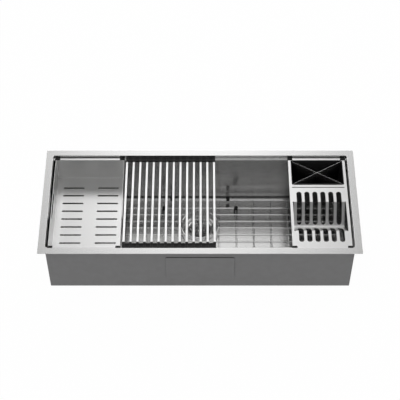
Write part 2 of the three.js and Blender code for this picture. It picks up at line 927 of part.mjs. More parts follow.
// A strip is a row of sleeves round the bar ends, joined by a thin web.
function makeStrip(side) {
  const outer = side * rimHalfDepth;
  const inner = side * (rimHalfDepth - stripWidth);
  const sleeves = barNumbers.map((number) => (
    rod([barAt(number), inner, barHeight], [barAt(number), outer, barHeight], stripRadius, stripSides)
  ));
  const webLow = barHeight - stripWebThickness / 2;
  const web = block(
    barAt(1),
    barAt(barCount),
    Math.min(inner, outer) + capOverhang,
    Math.max(inner, outer) - capOverhang,
    webLow,
    webLow + stripWebThickness,
  );
  const bores = barNumbers.map((number) => rod(
    [barAt(number), inner - side * cutMargin, barHeight],
    [barAt(number), side * (barHalfLength + seatGap), barHeight],
    barRadius + seatGap,
    barSides,
  ));
  return cut(joined([web, ...sleeves]), bores);
}

barNumbers.forEach((number) => {
  const label = String(number).padStart(2, '0');
  place(rollupGroup, `rollup_bar_${label}`, makeBar(number), polishedSteel());
});
place(rollupGroup, 'rollup_strip_front', makeStrip(-1), blackSilicone());
place(rollupGroup, 'rollup_strip_rear', makeStrip(1), blackSilicone());

// ---------- Plate rack ----------

const rackGroup = new THREE.Group();
group.add(rackGroup);

const rackRight = openingHalfWidth - plateRackFromRightWall;
const rackLeft = rackRight - plateRackWidth;
const rackMiddle = (rackLeft + rackRight) / 2;
const troughHalfWidth = plateRackWidth / 2 - plateRackRail - plateRackSlit;
const troughY = troughShareOfDepth * sinkDepth - halfDepth;
const frontFold = troughY - troughDepth;
const rearFold = troughY + troughDepth;
const railInnerLeft = rackLeft + plateRackRail;
const railInnerRight = rackRight - plateRackRail;
const boxLeft = railInnerLeft + seatGap;
const boxRight = railInnerRight - seatGap;
const boxWidth = boxRight - boxLeft;
const boxRear = rimHalfDepth - rackRearStrip;
const boxFront = boxRear - boxDepth;
const crossSlitRear = boxFront - rackCrossbar;
const crossSlitFront = crossSlitRear - rackCrossSlit;

function makePlateRack() {
  const skin = accessorySheet;
  const rimBottom = rimTop - skin;
  const lipEnd = hangHalfDepth;
  const sheet = block(
    rackLeft + capNotch,
    rackRight - capNotch,
    -rimHalfDepth + capNotch,
    rimHalfDepth - capNotch,
    rimBottom,
    rimTop,
  );
  const leftLip = block(
    rackLeft + capNotch,
    rackLeft + capNotch + skin,
    -lipEnd,
    lipEnd,
    rimTop - railLipDrop,
    rimTop - skin / 2,
  );
  const rightLip = leftLip.translate([plateRackWidth - 2 * capNotch - skin, 0, 0]);
  const troughCut = block(
    railInnerLeft,
    railInnerRight,
    frontFold,
    rearFold,
    rimBottom - cutMargin,
    rimTop + cutMargin,
  );
  const slope = skin * Math.SQRT2;
  const trough = alongX([
    new THREE.Vector2(frontFold - skin, rimTop),
    new THREE.Vector2(frontFold - skin, rimBottom),
    new THREE.Vector2(frontFold - slope + skin, rimBottom),
    new THREE.Vector2(troughY, rimTop - troughDepth - slope),
    new THREE.Vector2(rearFold + slope - skin, rimBottom),
    new THREE.Vector2(rearFold + skin, rimBottom),
    new THREE.Vector2(rearFold + skin, rimTop),
    new THREE.Vector2(rearFold, rimTop),
    new THREE.Vector2(troughY, rimTop - troughDepth),
    new THREE.Vector2(frontFold, rimTop),
  ], rackMiddle - troughHalfWidth, rackMiddle + troughHalfWidth);
  const through = (front, rear) => block(
    railInnerLeft,
    railInnerRight,
    front,
    rear,
    rimBottom - cutMargin,
    rimTop + cutMargin,
  );
  const boxHole = through(boxFront - seatGap, boxRear + seatGap);
  const crossSlit = through(crossSlitFront, crossSlitRear);
  const slotRuns = [
    [troughY + rearSlotPastMiddle, crossSlitFront - rearSlotFromCrossSlit],
    [-rimHalfDepth + frontSlotFromRim, troughY - frontSlotPastMiddle],
  ];
  const slots = slotRuns.flatMap(([start, end]) => {
    const outline = slotOutline(end - start, plateSlotWidth).map(({ x, y }) => new THREE.Vector2(-y, x));
    const low = rimTop - troughDepth - cutMargin;
    return Array.from({ length: plateSlots }, (_, i) => {
      const x = rackMiddle + (i - (plateSlots - 1) / 2) * plateSlotPitch;
      return slab(outline, low, rimTop + cutMargin, x, (start + end) / 2);
    });
  });
  const body = joined([cut(joined([sheet, leftLip, rightLip]), [troughCut]), trough]);
  return cut(body, [boxHole, crossSlit, ...slots]);
}

place(rackGroup, 'plate_rack', makePlateRack(), brushedSteel());
placeCornerCaps(rackGroup, 'plate_rack', rackLeft, rackRight);

// ---------- Utensil box ----------

const boxLipBottom = rimTop + seatGap;
const boxTop = boxLipBottom + boxLipThickness;
const boxY = (boxFront + boxRear) / 2;

// The box's hollow, grown outwards to its outer face or inwards to what stands in it.
function boxTub(grow, top) {
  return tub({
    width: boxWidth - 2 * boxWall + 2 * grow,
    depth: boxDepth - 2 * boxWall + 2 * grow,
    corner: boxCornerRadius + grow,
    floorRadius: boxFloorRadius + grow,
    bottom: boxTop - boxHeight - grow,
    top,
  }).translate([rackMiddle, boxY, 0]);
}

function makeUtensilBox() {
  const lip = block(
    boxLeft + boxLipInset,
    boxRight - boxLipInset,
    boxFront - boxLipWidth,
    boxRear + boxLipWidth,
    boxLipBottom,
    boxTop,
  );
  return cut(joined([boxTub(boxWall, boxTop), lip]), [boxTub(0, boxTop + cutMargin)]);
}

// Two upright plates cross on the box's diagonals and stand on its floor.
function makeDivider() {
  const angle = Math.atan2(boxDepth, boxWidth) * 180 / Math.PI;
  const reach = Math.hypot(boxWidth, boxDepth) / 2;
  const plate = block(
    -reach,
    reach,
    -dividerThickness / 2,
    dividerThickness / 2,
    boxTop - boxHeight - cutMargin,
    boxTop - dividerBelowRim,
  );
  const cross = joined([plate.rotate([0, 0, angle]), plate.rotate([0, 0, -angle])]);
  return cross.translate([rackMiddle, boxY, 0]).intersect(boxTub(-seatGap, boxTop));
}

place(rackGroup, 'utensil_box', makeUtensilBox(), blackPlastic());
place(rackGroup, 'utensil_divider', makeDivider(), brushedSteel());

export default group;
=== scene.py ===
"""Workstation kitchen sink: the looks of the bowl, its drain, the wire grid and the pieces on its ledges."""

import math

import bmesh
import bpy
import numpy as np
from mathutils import Matrix, Vector


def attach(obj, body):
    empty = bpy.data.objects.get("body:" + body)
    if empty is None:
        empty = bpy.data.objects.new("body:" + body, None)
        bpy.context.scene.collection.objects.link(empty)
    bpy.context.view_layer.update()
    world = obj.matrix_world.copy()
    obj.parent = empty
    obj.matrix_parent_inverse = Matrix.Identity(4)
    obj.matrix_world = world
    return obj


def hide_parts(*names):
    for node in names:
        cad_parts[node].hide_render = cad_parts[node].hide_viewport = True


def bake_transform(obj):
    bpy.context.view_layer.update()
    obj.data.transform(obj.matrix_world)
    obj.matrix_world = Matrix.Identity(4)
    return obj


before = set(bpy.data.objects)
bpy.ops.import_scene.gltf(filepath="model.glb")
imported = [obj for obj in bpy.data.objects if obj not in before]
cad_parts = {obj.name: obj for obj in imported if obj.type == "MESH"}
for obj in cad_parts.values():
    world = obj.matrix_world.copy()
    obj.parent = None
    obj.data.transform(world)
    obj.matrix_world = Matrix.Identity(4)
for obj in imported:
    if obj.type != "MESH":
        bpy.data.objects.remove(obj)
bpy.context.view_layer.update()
scene = bpy.context.scene

# ---------- Sizes, in millimetres, as the solids have them ----------

MM = 0.001
CORNER_STEPS = 11
SIDES = 96
SMOOTH_TO = 38.0
SEAT = 0.3
FRONT_AND_REAR = (("front", -1), ("rear", 1))
LEFT_AND_RIGHT = (("left", -1), ("right", 1))

HALF_DEPTH = 235.0
OPENING_X, OPENING_Y = 545.5, 209.0
BOWL_Y = 199.5
TREAD = -12.0
FLOOR = -238.0
SHEET = 1.5
BOWL_CORNER = 6.0
FLOOR_FOLD = 1.0
RISER_LEAN = 1.1
DRAIN_Y = 47.0
RECESS_RADIUS, RECESS_FLOOR = 60.0, -241.0
HOLE_RADIUS = 45.0

RIM = -8.9
RIM_SHEET = 1.2
RIM_Y = 207.8
CAP_OVERHANG = 0.6
CAP_NOTCH = 0.9
HANG_Y = 196.5

COLANDER_LEFT, COLANDER_RIGHT = -538.0, -281.0
COLANDER_FLOOR = RIM - 104.0
RACK_LEFT, RACK_RIGHT = 326.3, 539.3
RACK_MIDDLE = (RACK_LEFT + RACK_RIGHT) / 2
FIRST_BAR, BAR_PITCH, BAR_COUNT = -270.5, 24.8, 14
BAR_HEIGHT = -6.62
BARS_ON_LEFT = 7
SLEEVE, WEB_HALF_THICK, WEB_HALF_LONG = 5.05, 2.25, 6.9
STRIP_INNER = RIM_Y - 26.0
WEB_START = FIRST_BAR + (BARS_ON_LEFT - 0.5) * BAR_PITCH - WEB_HALF_LONG
WEB_END = WEB_START + 2 * WEB_HALF_LONG

GRID_Y, GRID_Z = 3.0, -215.0
GRID_HALF_X, GRID_HALF_Y = 514.0, 164.0
FRAME_WIRE, GRID_WIRE = 3.0, 2.5
DRAIN_RING = 70.0
LONG_PITCH, LONG_EACH_SIDE = 31.1, 4
FIRST_CROSS, CROSS_PITCH, CROSS_EACH_SIDE, CROSS_Z = 72.0, 65.4, 7, -3.83
FOOT_Y, FOOT_CROSS_WIRES = LONG_EACH_SIDE * LONG_PITCH, (1, 5)
BUMPER_X = 107.0


# ---------- Node trees ----------

class Value:
    """One output socket of a node tree, with the sums that finishes are written in."""

    def __init__(self, nodes, socket):
        self.nodes = nodes
        self.socket = socket

    def _sum(self, operation, *values):
        return self.nodes.compute(operation, *values)

    def __add__(self, other):
        return self._sum("ADD", self, other)

    def __radd__(self, other):
        return self._sum("ADD", other, self)

    def __sub__(self, other):
        return self._sum("SUBTRACT", self, other)

    def __rsub__(self, other):
        return self._sum("SUBTRACT", other, self)

    def __mul__(self, other):
        return self._sum("MULTIPLY", self, other)

    def __rmul__(self, other):
        return self._sum("MULTIPLY", other, self)

    def __truediv__(self, other):
        return self._sum("DIVIDE", self, other)

    def __mod__(self, other):
        return self._sum("FLOORED_MODULO", self, other)

    def __lt__(self, other):
        return self._sum("LESS_THAN", self, other)

    def __gt__(self, other):
        return self._sum("GREATER_THAN", self, other)

    def __abs__(self):
        return self._sum("ABSOLUTE", self)


class Nodes:
    """Adds nodes to one tree: first a node's settings, then the values or links of its sockets."""

    def __init__(self, tree):
        self.tree = tree

    def add(self, kind, settings=None, inputs=None, output=0):
        node = self.tree.nodes.new(kind)
        for name, value in (settings or {}).items():
            if name == "stops":
                self._set_stops(node.color_ramp, value)
            else:
                setattr(node, name, value)
        for key, value in (inputs or {}).items():
            for one in value if isinstance(value, list) else [value]:
                if isinstance(one, Value):
                    self.tree.links.new(one.socket, node.inputs[key])
                else:
                    node.inputs[key].default_value = one
        return Value(self, node.outputs[output])

    @staticmethod
    def _set_stops(ramp, stops):
        while len(ramp.elements) < len(stops):
            ramp.elements.new(1.0)
        for element, (position, grey) in zip(ramp.elements, stops):
            element.position = position
            element.color = (grey, grey, grey, 1.0)

    def compute(self, operation, *values):
        return self.add("ShaderNodeMath", {"operation": operation}, dict(enumerate(values)))

    def split(self, vector):
        """The X, Y and Z values of a vector."""
        first = self.add("ShaderNodeSeparateXYZ", {}, {0: vector})
        node = first.socket.node
        return [Value(self, node.outputs[axis]) for axis in range(3)]

    def stretched(self, vector, scale):
        return self.add("ShaderNodeVectorMath", {"operation": "MULTIPLY"}, {0: vector, 1: scale})

    def ease(self, value, low, high, start=0.0, end=1.0):
        """Goes smoothly from start to end while value goes from low to high."""
        return self.add(
            "ShaderNodeMapRange",
            {"interpolation_type": "SMOOTHSTEP"},
            {0: value, 1: low, 2: high, 3: start, 4: end},
        )

    def noise(self, vector, scale, detail=2.0, rough=0.5):
        return self.add(
            "ShaderNodeTexNoise",
            {},
            {"Vector": vector, "Scale": scale, "Detail": detail, "Roughness": rough},
        )


class Finish(Nodes):
    """A material: one principled shader whose sockets take constants or values that vary."""

    def __init__(self, name, constants=None):
        self.material = bpy.data.materials.new(name)
        self.material.use_nodes = True
        super().__init__(self.material.node_tree)
        self.shader = self.tree.nodes["Principled BSDF"]
        for socket, value in (constants or {}).items():
            self.set(socket, value)

    def set(self, socket, value):
        if isinstance(value, Value):
            self.tree.links.new(value.socket, self.shader.inputs[socket])
        else:
            self.shader.inputs[socket].default_value = value

    def place(self):
        return self.add("ShaderNodeTexCoord", output="Object")

    def tint(self, mask, low, high):
        """A colour between two, by a mask from 0 to 1. The first may be a value itself."""
        first = low if isinstance(low, Value) else (*low, 1.0)
        return self.add(
            "ShaderNodeMix", {"data_type": "RGBA"}, {0: mask, 6: first, 7: (*high, 1.0)}, output=2,
        )

    def floor_crease_shade(self, place):
        """One in a thin line of painted shade in the crease where the bowl's walls meet its floor."""
        across, along, up = self.split(place)
        beside = self.ease(abs(along), (BOWL_Y - 4.8) * MM, (BOWL_Y - 3.8) * MM)
        at_end = self.ease(abs(across), (OPENING_X - 3.5) * MM, (OPENING_X - 2.5) * MM)
        low = self.ease(up, (FLOOR + 0.2) * MM, (FLOOR + 0.7) * MM, 1.0, 0.0)
        return self.compute("MAXIMUM", beside, at_end) * low

    def relief(self, height, depth, strength=1.0):
        self.set("Normal", self.add(
            "ShaderNodeBump", {}, {"Strength": strength, "Distance": depth, "Height": height},
        ))


# ---------- Finishes ----------

# How far painted shade darkens the sheet's colour, from 0 to 1: in tight gaps (ambient occlusion), towards
# the top of the bowl's walls and in the crease where its walls meet its floor.
GAP_SHADE, UPPER_WALL_SHADE, CREASE_SHADE = 0.95, 0.45, 0.93
PAINTED_SHADE_GREY = 0.03
SHEET_UNEVEN = 0.012


def brushed_sheet(name, shade, roughness, grain=1400.0, run=26.0, depth=8e-7, bowl=False):
    """Stainless sheet with a fine lengthwise brushed grain, turned to run level on the end walls."""
    steel = Finish(name, {"Metallic": 1.0})
    place = steel.place()
    facing = steel.split(steel.add("ShaderNodeTexCoord", output="Normal"))[0]
    on_end_wall = abs(facing) > 0.7
    along = steel.noise(steel.stretched(place, (run, grain, grain)), 1.0, 2.0, 0.55)
    across = steel.noise(steel.stretched(place, (grain, run, grain)), 1.0, 2.0, 0.55)
    streaks = along + (across - along) * on_end_wall
    clouds = steel.noise(place, 7.0, 2.0, 0.5)
    steel.set("Roughness", roughness + (streaks - 0.5) * SHEET_UNEVEN + (clouds - 0.5) * SHEET_UNEVEN)
    sheet = steel.tint(
        steel.ease(streaks * 0.8 + clouds * 0.2, 0.3, 0.7),
        tuple(shade * tone * 0.993 for tone in (1.0, 0.998, 0.99)),
        tuple(shade * tone for tone in (1.0, 0.999, 0.994)),
    )
    # Painted shade: ambient occlusion darkens the base colour in gaps, slots, corners and under parts.
    shut_in = steel.add("ShaderNodeAmbientOcclusion", {"samples": 16}, {"Distance": 0.12}, output=1)
    painted_shade = steel.ease(shut_in, 0.02, 0.3, GAP_SHADE, 0.0)
    if bowl:
        # Painted shade on the bowl: darker towards the top of the walls below the ledges, and a dark line in
        # the crease at the floor.
        up = steel.split(place)[2]
        under_ledge = up < (TREAD - 3) * MM
        upper_wall_shade = steel.ease(up, (FLOOR + 20) * MM, -2 * SHEET * MM, 0.0, UPPER_WALL_SHADE) * under_ledge
        painted_shade = steel.compute("MAXIMUM", painted_shade, upper_wall_shade)
        painted_shade = steel.compute("MAXIMUM", painted_shade, steel.floor_crease_shade(place) * CREASE_SHADE)
    # Painted shade: the mask mixes the sheet's colour towards a dark grey.
    steel.set("Base Color", steel.tint(painted_shade, sheet, (PAINTED_SHADE_GREY,) * 3))
    steel.relief(streaks, depth)
    return steel.material


def spun_steel(name, shade, roughness):
    """Turned stainless with fine rings round the drain's axis."""
    steel = Finish(name, {"Metallic": 1.0})
    across, along, up = steel.split(steel.place())
    behind = along - DRAIN_Y * MM
    squared = across * across + behind * behind
    radius = steel.compute("SQRT", squared)
    rings = steel.add(
        "ShaderNodeTexNoise",
        {"noise_dimensions": "1D"},
        {"W": (radius + up) * 2600.0, "Scale": 1.0, "Detail": 2.0},
    )
    steel.set("Roughness", roughness + (rings - 0.5) * 0.08)
    steel.set("Base Color", steel.tint(
        rings, (shade * 0.95, shade * 0.95, shade * 0.94), (shade, shade, shade * 0.995),
    ))
    steel.relief(rings, 2e-6)
    return steel.material


def polished_wire(name, shade, roughness):
    steel = Finish(name, {"Metallic": 1.0})
    place = steel.place()
    drawn = steel.noise(steel.stretched(place, (1.0, 1.0, 3.0)), 260.0, 3.0, 0.6)
    clouds = steel.noise(place, 18.0, 2.0)
    steel.set("Roughness", roughness + (drawn - 0.5) * 0.10 + (clouds - 0.5) * 0.05)
    steel.set("Base Color", steel.tint(
        clouds, (shade * 0.97, shade * 0.97, shade * 0.965), (shade, shade, shade),
    ))
    steel.relief(drawn, 5e-6)
    return steel.material


def moulded_silicone(name, dark, light, roughness):
    """Black silicone with a faint bloom and the fine texture of its mould."""
    silicone = Finish(name, {"Specular IOR Level": 0.18})
    place = silicone.place()
    bloom = silicone.noise(place, 45.0, 4.0, 0.6)
    skin = silicone.noise(place, 2200.0, 2.0)
    silicone.set("Base Color", silicone.tint(silicone.ease(bloom, 0.35, 0.7), (dark,) * 3, (light,) * 3))
    silicone.set("Roughness", roughness + (bloom - 0.5) * 0.14)
    silicone.relief(skin, 2.5e-5)
    return silicone.material


def sprayed_coat(name, shade):
    """Matt damping compound with the fine drops it was sprayed on in."""
    coat = Finish(name, {"Specular IOR Level": 0.25})
    place = coat.place()
    drops = coat.add(
        "ShaderNodeTexVoronoi",
        {"feature": "SMOOTH_F1"},
        {"Vector": place, "Scale": 620.0, "Smoothness": 0.6},
    )
    mottle = coat.noise(place, 34.0, 4.0, 0.6)
    coat.set("Base Color", coat.tint(
        coat.ease(mottle, 0.3, 0.72), (shade * 0.96,) * 3, (shade * 1.03, shade * 1.03, shade * 1.04),
    ))
    coat.set("Roughness", 0.86 + (mottle - 0.5) * 0.16)
    coat.relief(drops + mottle * 0.4, 2.2e-4, 0.7)
    return coat.material


def gloss_moulding(name):
    """Black moulded plastic with a light grain and greyer scuffs in streaks here and there."""
    plastic = Finish(name, {"IOR": 1.49})
    place = plastic.place()
    grain = plastic.noise(place, 1500.0, 2.0)
    scuffs = plastic.noise(plastic.stretched(place, (30.0, 30.0, 240.0)), 1.0, 4.0, 0.6)
    plastic.set("Base Color", plastic.tint(plastic.ease(scuffs, 0.52, 0.78), (0.011,) * 3, (0.03,) * 3))
    plastic.set("Roughness", 0.34 + (scuffs - 0.5) * 0.2)
    plastic.relief(grain, 2.0e-5)
    return plastic.material


def pressed_fibre(name):
    fibre = Finish(name)
    strands = fibre.noise(fibre.stretched(fibre.place(), (900.0, 300.0, 900.0)), 1.0, 4.0, 0.7)
    fibre.set("Base Color", fibre.tint(strands, (0.20, 0.15, 0.10), (0.42, 0.34, 0.24)))
    fibre.set("Roughness", 0.8 + (strands - 0.5) * 0.2)
    fibre.relief(strands, 6e-5)
    return fibre.material


def plated_brass(name):
    chrome = Finish(name, {"Metallic": 1.0})
    haze = chrome.noise(chrome.place(), 60.0, 3.0)
    chrome.set("Base Color", chrome.tint(haze, (0.49, 0.50, 0.51), (0.57, 0.575, 0.58)))
    chrome.set("Roughness", 0.07 + haze * 0.08)
    chrome.relief(chrome.noise(chrome.place(), 500.0, 2.0), 4e-6)
    return chrome.material


# The finish of each slot.
FINISHES = {
    "sink_steel": brushed_sheet("sink_steel", 0.78, 0.27, bowl=True),
    "accessory_steel": brushed_sheet("accessory_steel", 0.90, 0.29, run=34.0),
    "strainer_steel": spun_steel("strainer_steel", 0.74, 0.10),
    "grid_steel": polished_wire("grid_steel", 0.94, 0.10),
    "rollup_steel": polished_wire("rollup_steel", 0.94, 0.30),
    "cap_silicone": moulded_silicone("cap_silicone", 0.006, 0.014, 0.5),
    "rollup_silicone": moulded_silicone("rollup_silicone", 0.006, 0.013, 0.45),
    "grid_rubber": moulded_silicone("grid_rubber", 0.012, 0.026, 0.62),
    "drain_rubber": moulded_silicone("drain_rubber", 0.014, 0.03, 0.66),
    "sound_pad": sprayed_coat("sound_pad", 0.157),
    "utensil_plastic": gloss_moulding("utensil_plastic"),
    "washer_fibre": pressed_fibre("washer_fibre"),
    "drain_chrome": plated_brass("drain_chrome"),
}
FINISHES["insulation"] = FINISHES["sound_pad"]
# Painted shade: a dark material for the pads' edges, standing in for the shadow line round each pad.
PAD_EDGE_SHADE = moulded_silicone("sound_pad_edge", 0.02, 0.04, 0.8)


# ---------- Outlines and folds ----------

def rounded_rectangle(half_x, half_y, corner, steps=CORNER_STEPS):
    """Points of a rectangle with round corners, counter-clockwise from above."""
    corner = max(corner, 0.05)
    points = []
    for quarter, (side_x, side_y) in enumerate(((1, 1), (-1, 1), (-1, -1), (1, -1))):
        for step in range(steps + 1):
            angle = (quarter + step / steps) * math.pi / 2
            points.append((
                side_x * (half_x - corner) + corner * math.cos(angle),
                side_y * (half_y - corner) + corner * math.sin(angle),
            ))
    return np.array(points)


def circle(radius, sides, start=0.0):
    angles = (np.arange(sides) + start) * 2 * math.pi / sides
    return np.stack([radius * np.cos(angles), radius * np.sin(angles)], 1)


def folded(corners, steps=5, hold=0.5, closed=False):
    """A path through (across, up, fold radius) corners, each fold an arc that is held on both sides."""
    count = len(corners)
    path = []
    for index, (across, up, radius) in enumerate(corners):
        here = np.array((across, up), float)
        if radius <= 0 or (not closed and index in (0, count - 1)):
            path.append(here)
            continue
        back = np.array(corners[index - 1][:2]) - here
        ahead = np.array(corners[(index + 1) % count][:2]) - here
        room_back, room_ahead = np.linalg.norm(back), np.linalg.norm(ahead)
        back, ahead = back / room_back, ahead / room_ahead
        half = math.acos(max(-1.0, min(1.0, float(back @ ahead)))) / 2
        reach = radius / math.tan(half)
        middle = (back + ahead) / np.linalg.norm(back + ahead)
        centre = here + middle * radius / math.sin(half)
        start, end = here + back * reach, here + ahead * reach
        if room_back - reach > 2.2 * hold:
            path.append(start + back * hold)
        first, last = start - centre, end - centre
        turn = math.acos(max(-1.0, min(1.0, float(first @ last) / radius ** 2)))
        for step in range(steps + 1):
            share = step / steps
            spoke = math.sin((1 - share) * turn) * first + math.sin(share * turn) * last
            path.append(centre + spoke / math.sin(turn))
        if room_ahead - reach > 2.2 * hold:
            path.append(end + ahead * hold)
    return path


def level_ring(outline, height, x=0.0, y=0.0):
    return np.column_stack([outline[:, 0] + x, outline[:, 1] + y, np.full(len(outline), height)])


def shell(rings, joined_up=False):
    """A closed surface through rings of equal counts, capped at both ends or joined up end to end."""
    count = len(rings[0])
    points = np.concatenate(rings)
    faces = []
    last = len(rings) if joined_up else len(rings) - 1
    for level in range(last):
        low, high = level * count, (level + 1) % len(rings) * count
        for i in range(count):
            j = (i + 1) % count
            faces.append((low + i, low + j, high + j, high + i))
    if not joined_up:
        faces.append(tuple(reversed(range(count))))
        faces.append(tuple(range(points.shape[0] - count, points.shape[0])))
    return outward(points, faces)


def outward(points, faces):
    """The same closed surface with its faces turned outwards."""
    volume = 0.0
    for face in faces:
        for k in range(1, len(face) - 1):
            volume += float(np.dot(points[face[0]], np.cross(points[face[k]], points[face[k + 1]])))
    return (points, faces) if volume > 0 else (points, [tuple(reversed(face)) for face in faces])


def together(*shells):
    points, faces, start = [], [], 0
    for some_points, some_faces in shells:
        points.append(some_points)
        faces += [tuple(start + i for i in face) for face in some_faces]
        start += len(some_points)
    return np.concatenate(points), faces


def moved(surface, x=0.0, y=0.0, z=0.0, turn=None):
    points = surface[0] if turn is None else surface[0] @ np.array(turn).T
    return points + np.array((x, y, z)), surface[1]


def turned(profile, sides=SIDES, x=0.0, y=DRAIN_Y, joined_up=False, steps=5, hold=0.4):
    """A folded path of radius and height, turned about an upright axis."""
    path = folded(profile, steps=steps, hold=hold, closed=joined_up)
    rings = [level_ring(circle(max(radius, 0.02), sides), up, x, y) for radius, up in path]
    return shell(rings, joined_up)


def slab(half_x, half_y, corner, low, high, edge=0.6, foot_edge=0.15, steps=6):
    """A flat block with round corners and rounded edges."""
    path = folded([
        (40.0, low, 0), (0.0, low, foot_edge), (0.0, high, edge), (40.0, high, 0),
    ], steps=4, hold=0.3)
    rings = [
        level_ring(rounded_rectangle(half_x - inset, half_y - inset, corner - inset, steps), up)
        for inset, up in path[1:-1]
    ]
    return shell(rings)


def block(half_x, half_y, low, high):
    """A plain block to cut with, its edges all but sharp."""
    return slab(half_x, half_y, 0.05, low, high, edge=0.05, foot_edge=0.05, steps=1)


TURN_LENGTHWISE = ((0, 0, 1), (0, 1, 0), (-1, 0, 0))


# ---------- Pieces ----------

def piece(name, surface, finish, smooth_to=SMOOTH_TO):
    """A mesh in metres from a surface in millimetres, with its edges sharp past an angle."""
    mesh = bpy.data.meshes.new(name)
    points, faces = surface
    mesh.from_pydata((points * MM).tolist(), [], faces)
    mesh.materials.append(finish)
    shade(mesh, smooth_to)
    made = bpy.data.objects.new(name, mesh)
    scene.collection.objects.link(made)
    return made


def shade(mesh, smooth_to):
    mesh.polygons.foreach_set("use_smooth", [True] * len(mesh.polygons))
    mesh.set_sharp_from_angle(angle=math.radians(smooth_to))
    mesh.update()


def settle(made, smooth_to=SMOOTH_TO):
    """Turns what a piece's modifiers make of it into its own plain mesh."""
    graph = bpy.context.evaluated_depsgraph_get()
    mesh = bpy.data.meshes.new_from_object(made.evaluated_get(graph))
    made.modifiers.clear()
    before = made.data
    made.data = mesh
    mesh.name = made.name
    bpy.data.meshes.remove(before)
    if smooth_to:
        shade(mesh, smooth_to)


def carve(made, *surfaces):
    """Cuts closed surfaces out of a piece."""
    tool = piece(made.name + "_tool", together(*surfaces), made.data.materials[0])
    cut = made.modifiers.new("carve", "BOOLEAN")
    cut.operation = "DIFFERENCE"
    cut.solver = "EXACT"
    cut.object = tool
    settle(made)
    bpy.data.objects.remove(tool)


def ease_edges(made, width, segments=2):
    """Rounds the sharp edges of a piece and keeps its flats flat."""
    weld(made)
    shade(made.data, 60.0)
    bevel = made.modifiers.new("edges", "BEVEL")
    bevel.width = width * MM
    bevel.segments = segments
    bevel.limit_method = "ANGLE"
    bevel.angle_limit = math.radians(50)
    bevel.use_clamp_overlap = True
    flats = made.modifiers.new("flats", "WEIGHTED_NORMAL")
    flats.mode = "FACE_AREA"
    flats.weight = 50
    flats.keep_sharp = True
    settle(made, None)


def weld(made):
    work = bmesh.new()
    work.from_mesh(made.data)
    bmesh.ops.remove_doubles(work, verts=work.verts, dist=2e-6)
    bmesh.ops.dissolve_degenerate(work, edges=work.edges, dist=2e-6)
    work.to_mesh(made.data)
    work.free()


def belongs(made, body, slot, *nodes):
    """A finished piece rides on a body and hides the CAD nodes it stands for. Its slot is not used."""
    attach(made, body)
    if nodes:
        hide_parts(*nodes)
    return made


def fitted(name, surface, body, slot, *nodes, smooth_to=SMOOTH_TO):
    """A piece that is finished as soon as it is made."""
    return belongs(piece(name, surface, FINISHES[slot], smooth_to), body, slot, *nodes)


# ---------- Trees for what repeats ----------

def new_tree(name, inputs):
    """A geometry tree with a geometry socket and named inputs, and the value of each input."""
    tree = bpy.data.node_groups.new(name, "GeometryNodeTree")
    tree.interface.new_socket("Geometry", in_out="INPUT", socket_type="NodeSocketGeometry")
    for label, kind in inputs.items():
        tree.interface.new_socket(label, in_out="INPUT", socket_type="NodeSocket" + kind)
    tree.interface.new_socket("Geometry", in_out="OUTPUT", socket_type="NodeSocketGeometry")
    nodes = Nodes(tree)
    entry = tree.nodes.new("NodeGroupInput")
    values = {socket.name: Value(nodes, socket) for socket in entry.outputs if socket.name}
    return nodes, values


def end_tree(nodes, geometry, material):
    real = nodes.add("GeometryNodeRealizeInstances", {}, {0: geometry})
    painted = nodes.add("GeometryNodeSetMaterial", {}, {"Geometry": real, "Material": material})
    leave = nodes.tree.nodes.new("NodeGroupOutput")
    nodes.tree.links.new(painted.socket, leave.inputs[0])
    return nodes.tree


def apply_tree(made, tree, smooth_to=SMOOTH_TO, **values):
    """Runs a tree on a piece with its named inputs set, and keeps the plain mesh."""
    work = made.modifiers.new("tree", "NODES")
    work.node_group = tree
    for socket in tree.interface.items_tree:
        key = socket.name.replace(" ", "_").lower()
        if socket.in_out == "INPUT" and key in values:
            work[socket.identifier] = values[key]
    settle(made, smooth_to)


def spread(nodes, column_pitch, row_pitch, columns, rows):
    """Points in columns and rows about the middle."""
    index = nodes.add("GeometryNodeInputIndex")
    column = index % columns
    row = nodes.compute("FLOOR", (index + 0.5) / columns)
    place = nodes.add("ShaderNodeCombineXYZ", {}, {
        0: (column - (columns - 1) * 0.5) * column_pitch,
        1: (row - (rows - 1) * 0.5) * row_pitch,
    })
    return nodes.add("GeometryNodePoints", {}, {"Count": columns * rows, "Position": place})


def slot_cutter(nodes, value):
    """A round-ended prism that stands through the sheet."""
    frame_line = nodes.add("GeometryNodeCurvePrimitiveQuadrilateral", {}, {
        "Width": value["Slot Length"], "Height": value["Slot Width"],
    })
    outline = nodes.add("GeometryNodeFilletCurve", {"mode": "POLY"}, {
        "Curve": frame_line, "Radius": value["Slot Width"] * 0.4995, "Count": 9, "Limit Radius": True,
    })
    face = nodes.add("GeometryNodeFillCurve", {"mode": "NGONS"}, {"Curve": outline})
    raised = nodes.add("GeometryNodeExtrudeMesh", {"mode": "FACES"}, {
        "Mesh": face, "Offset Scale": value["Reach"], "Individual": False,
    })
    under = nodes.add("GeometryNodeFlipFaces", {}, {"Mesh": face})
    closed = nodes.add("GeometryNodeMergeByDistance", {}, {
        "Geometry": nodes.add("GeometryNodeJoinGeometry", {}, {"Geometry": [raised, under]}),
        "Distance": 1e-6,
    })
    drop = nodes.add("ShaderNodeCombineXYZ", {}, {2: value["Reach"] * -0.5})
    return nodes.add("GeometryNodeTransform", {}, {"Geometry": closed, "Translation": drop})


def punch(nodes, value, copies, **placing):
    """Cuts the copies of a cutter, moved to the centre, out of the piece."""
    cutters = nodes.add("GeometryNodeTransform", {}, {
        "Geometry": nodes.add("GeometryNodeRealizeInstances", {}, {0: copies}),
        "Translation": value["Centre"], **placing,
    })
    punched = nodes.add("GeometryNodeMeshBoolean", {"operation": "DIFFERENCE", "solver": "EXACT"}, {
        0: value["Geometry"], 1: cutters,
    })
    return end_tree(nodes, punched, value["Finish"])


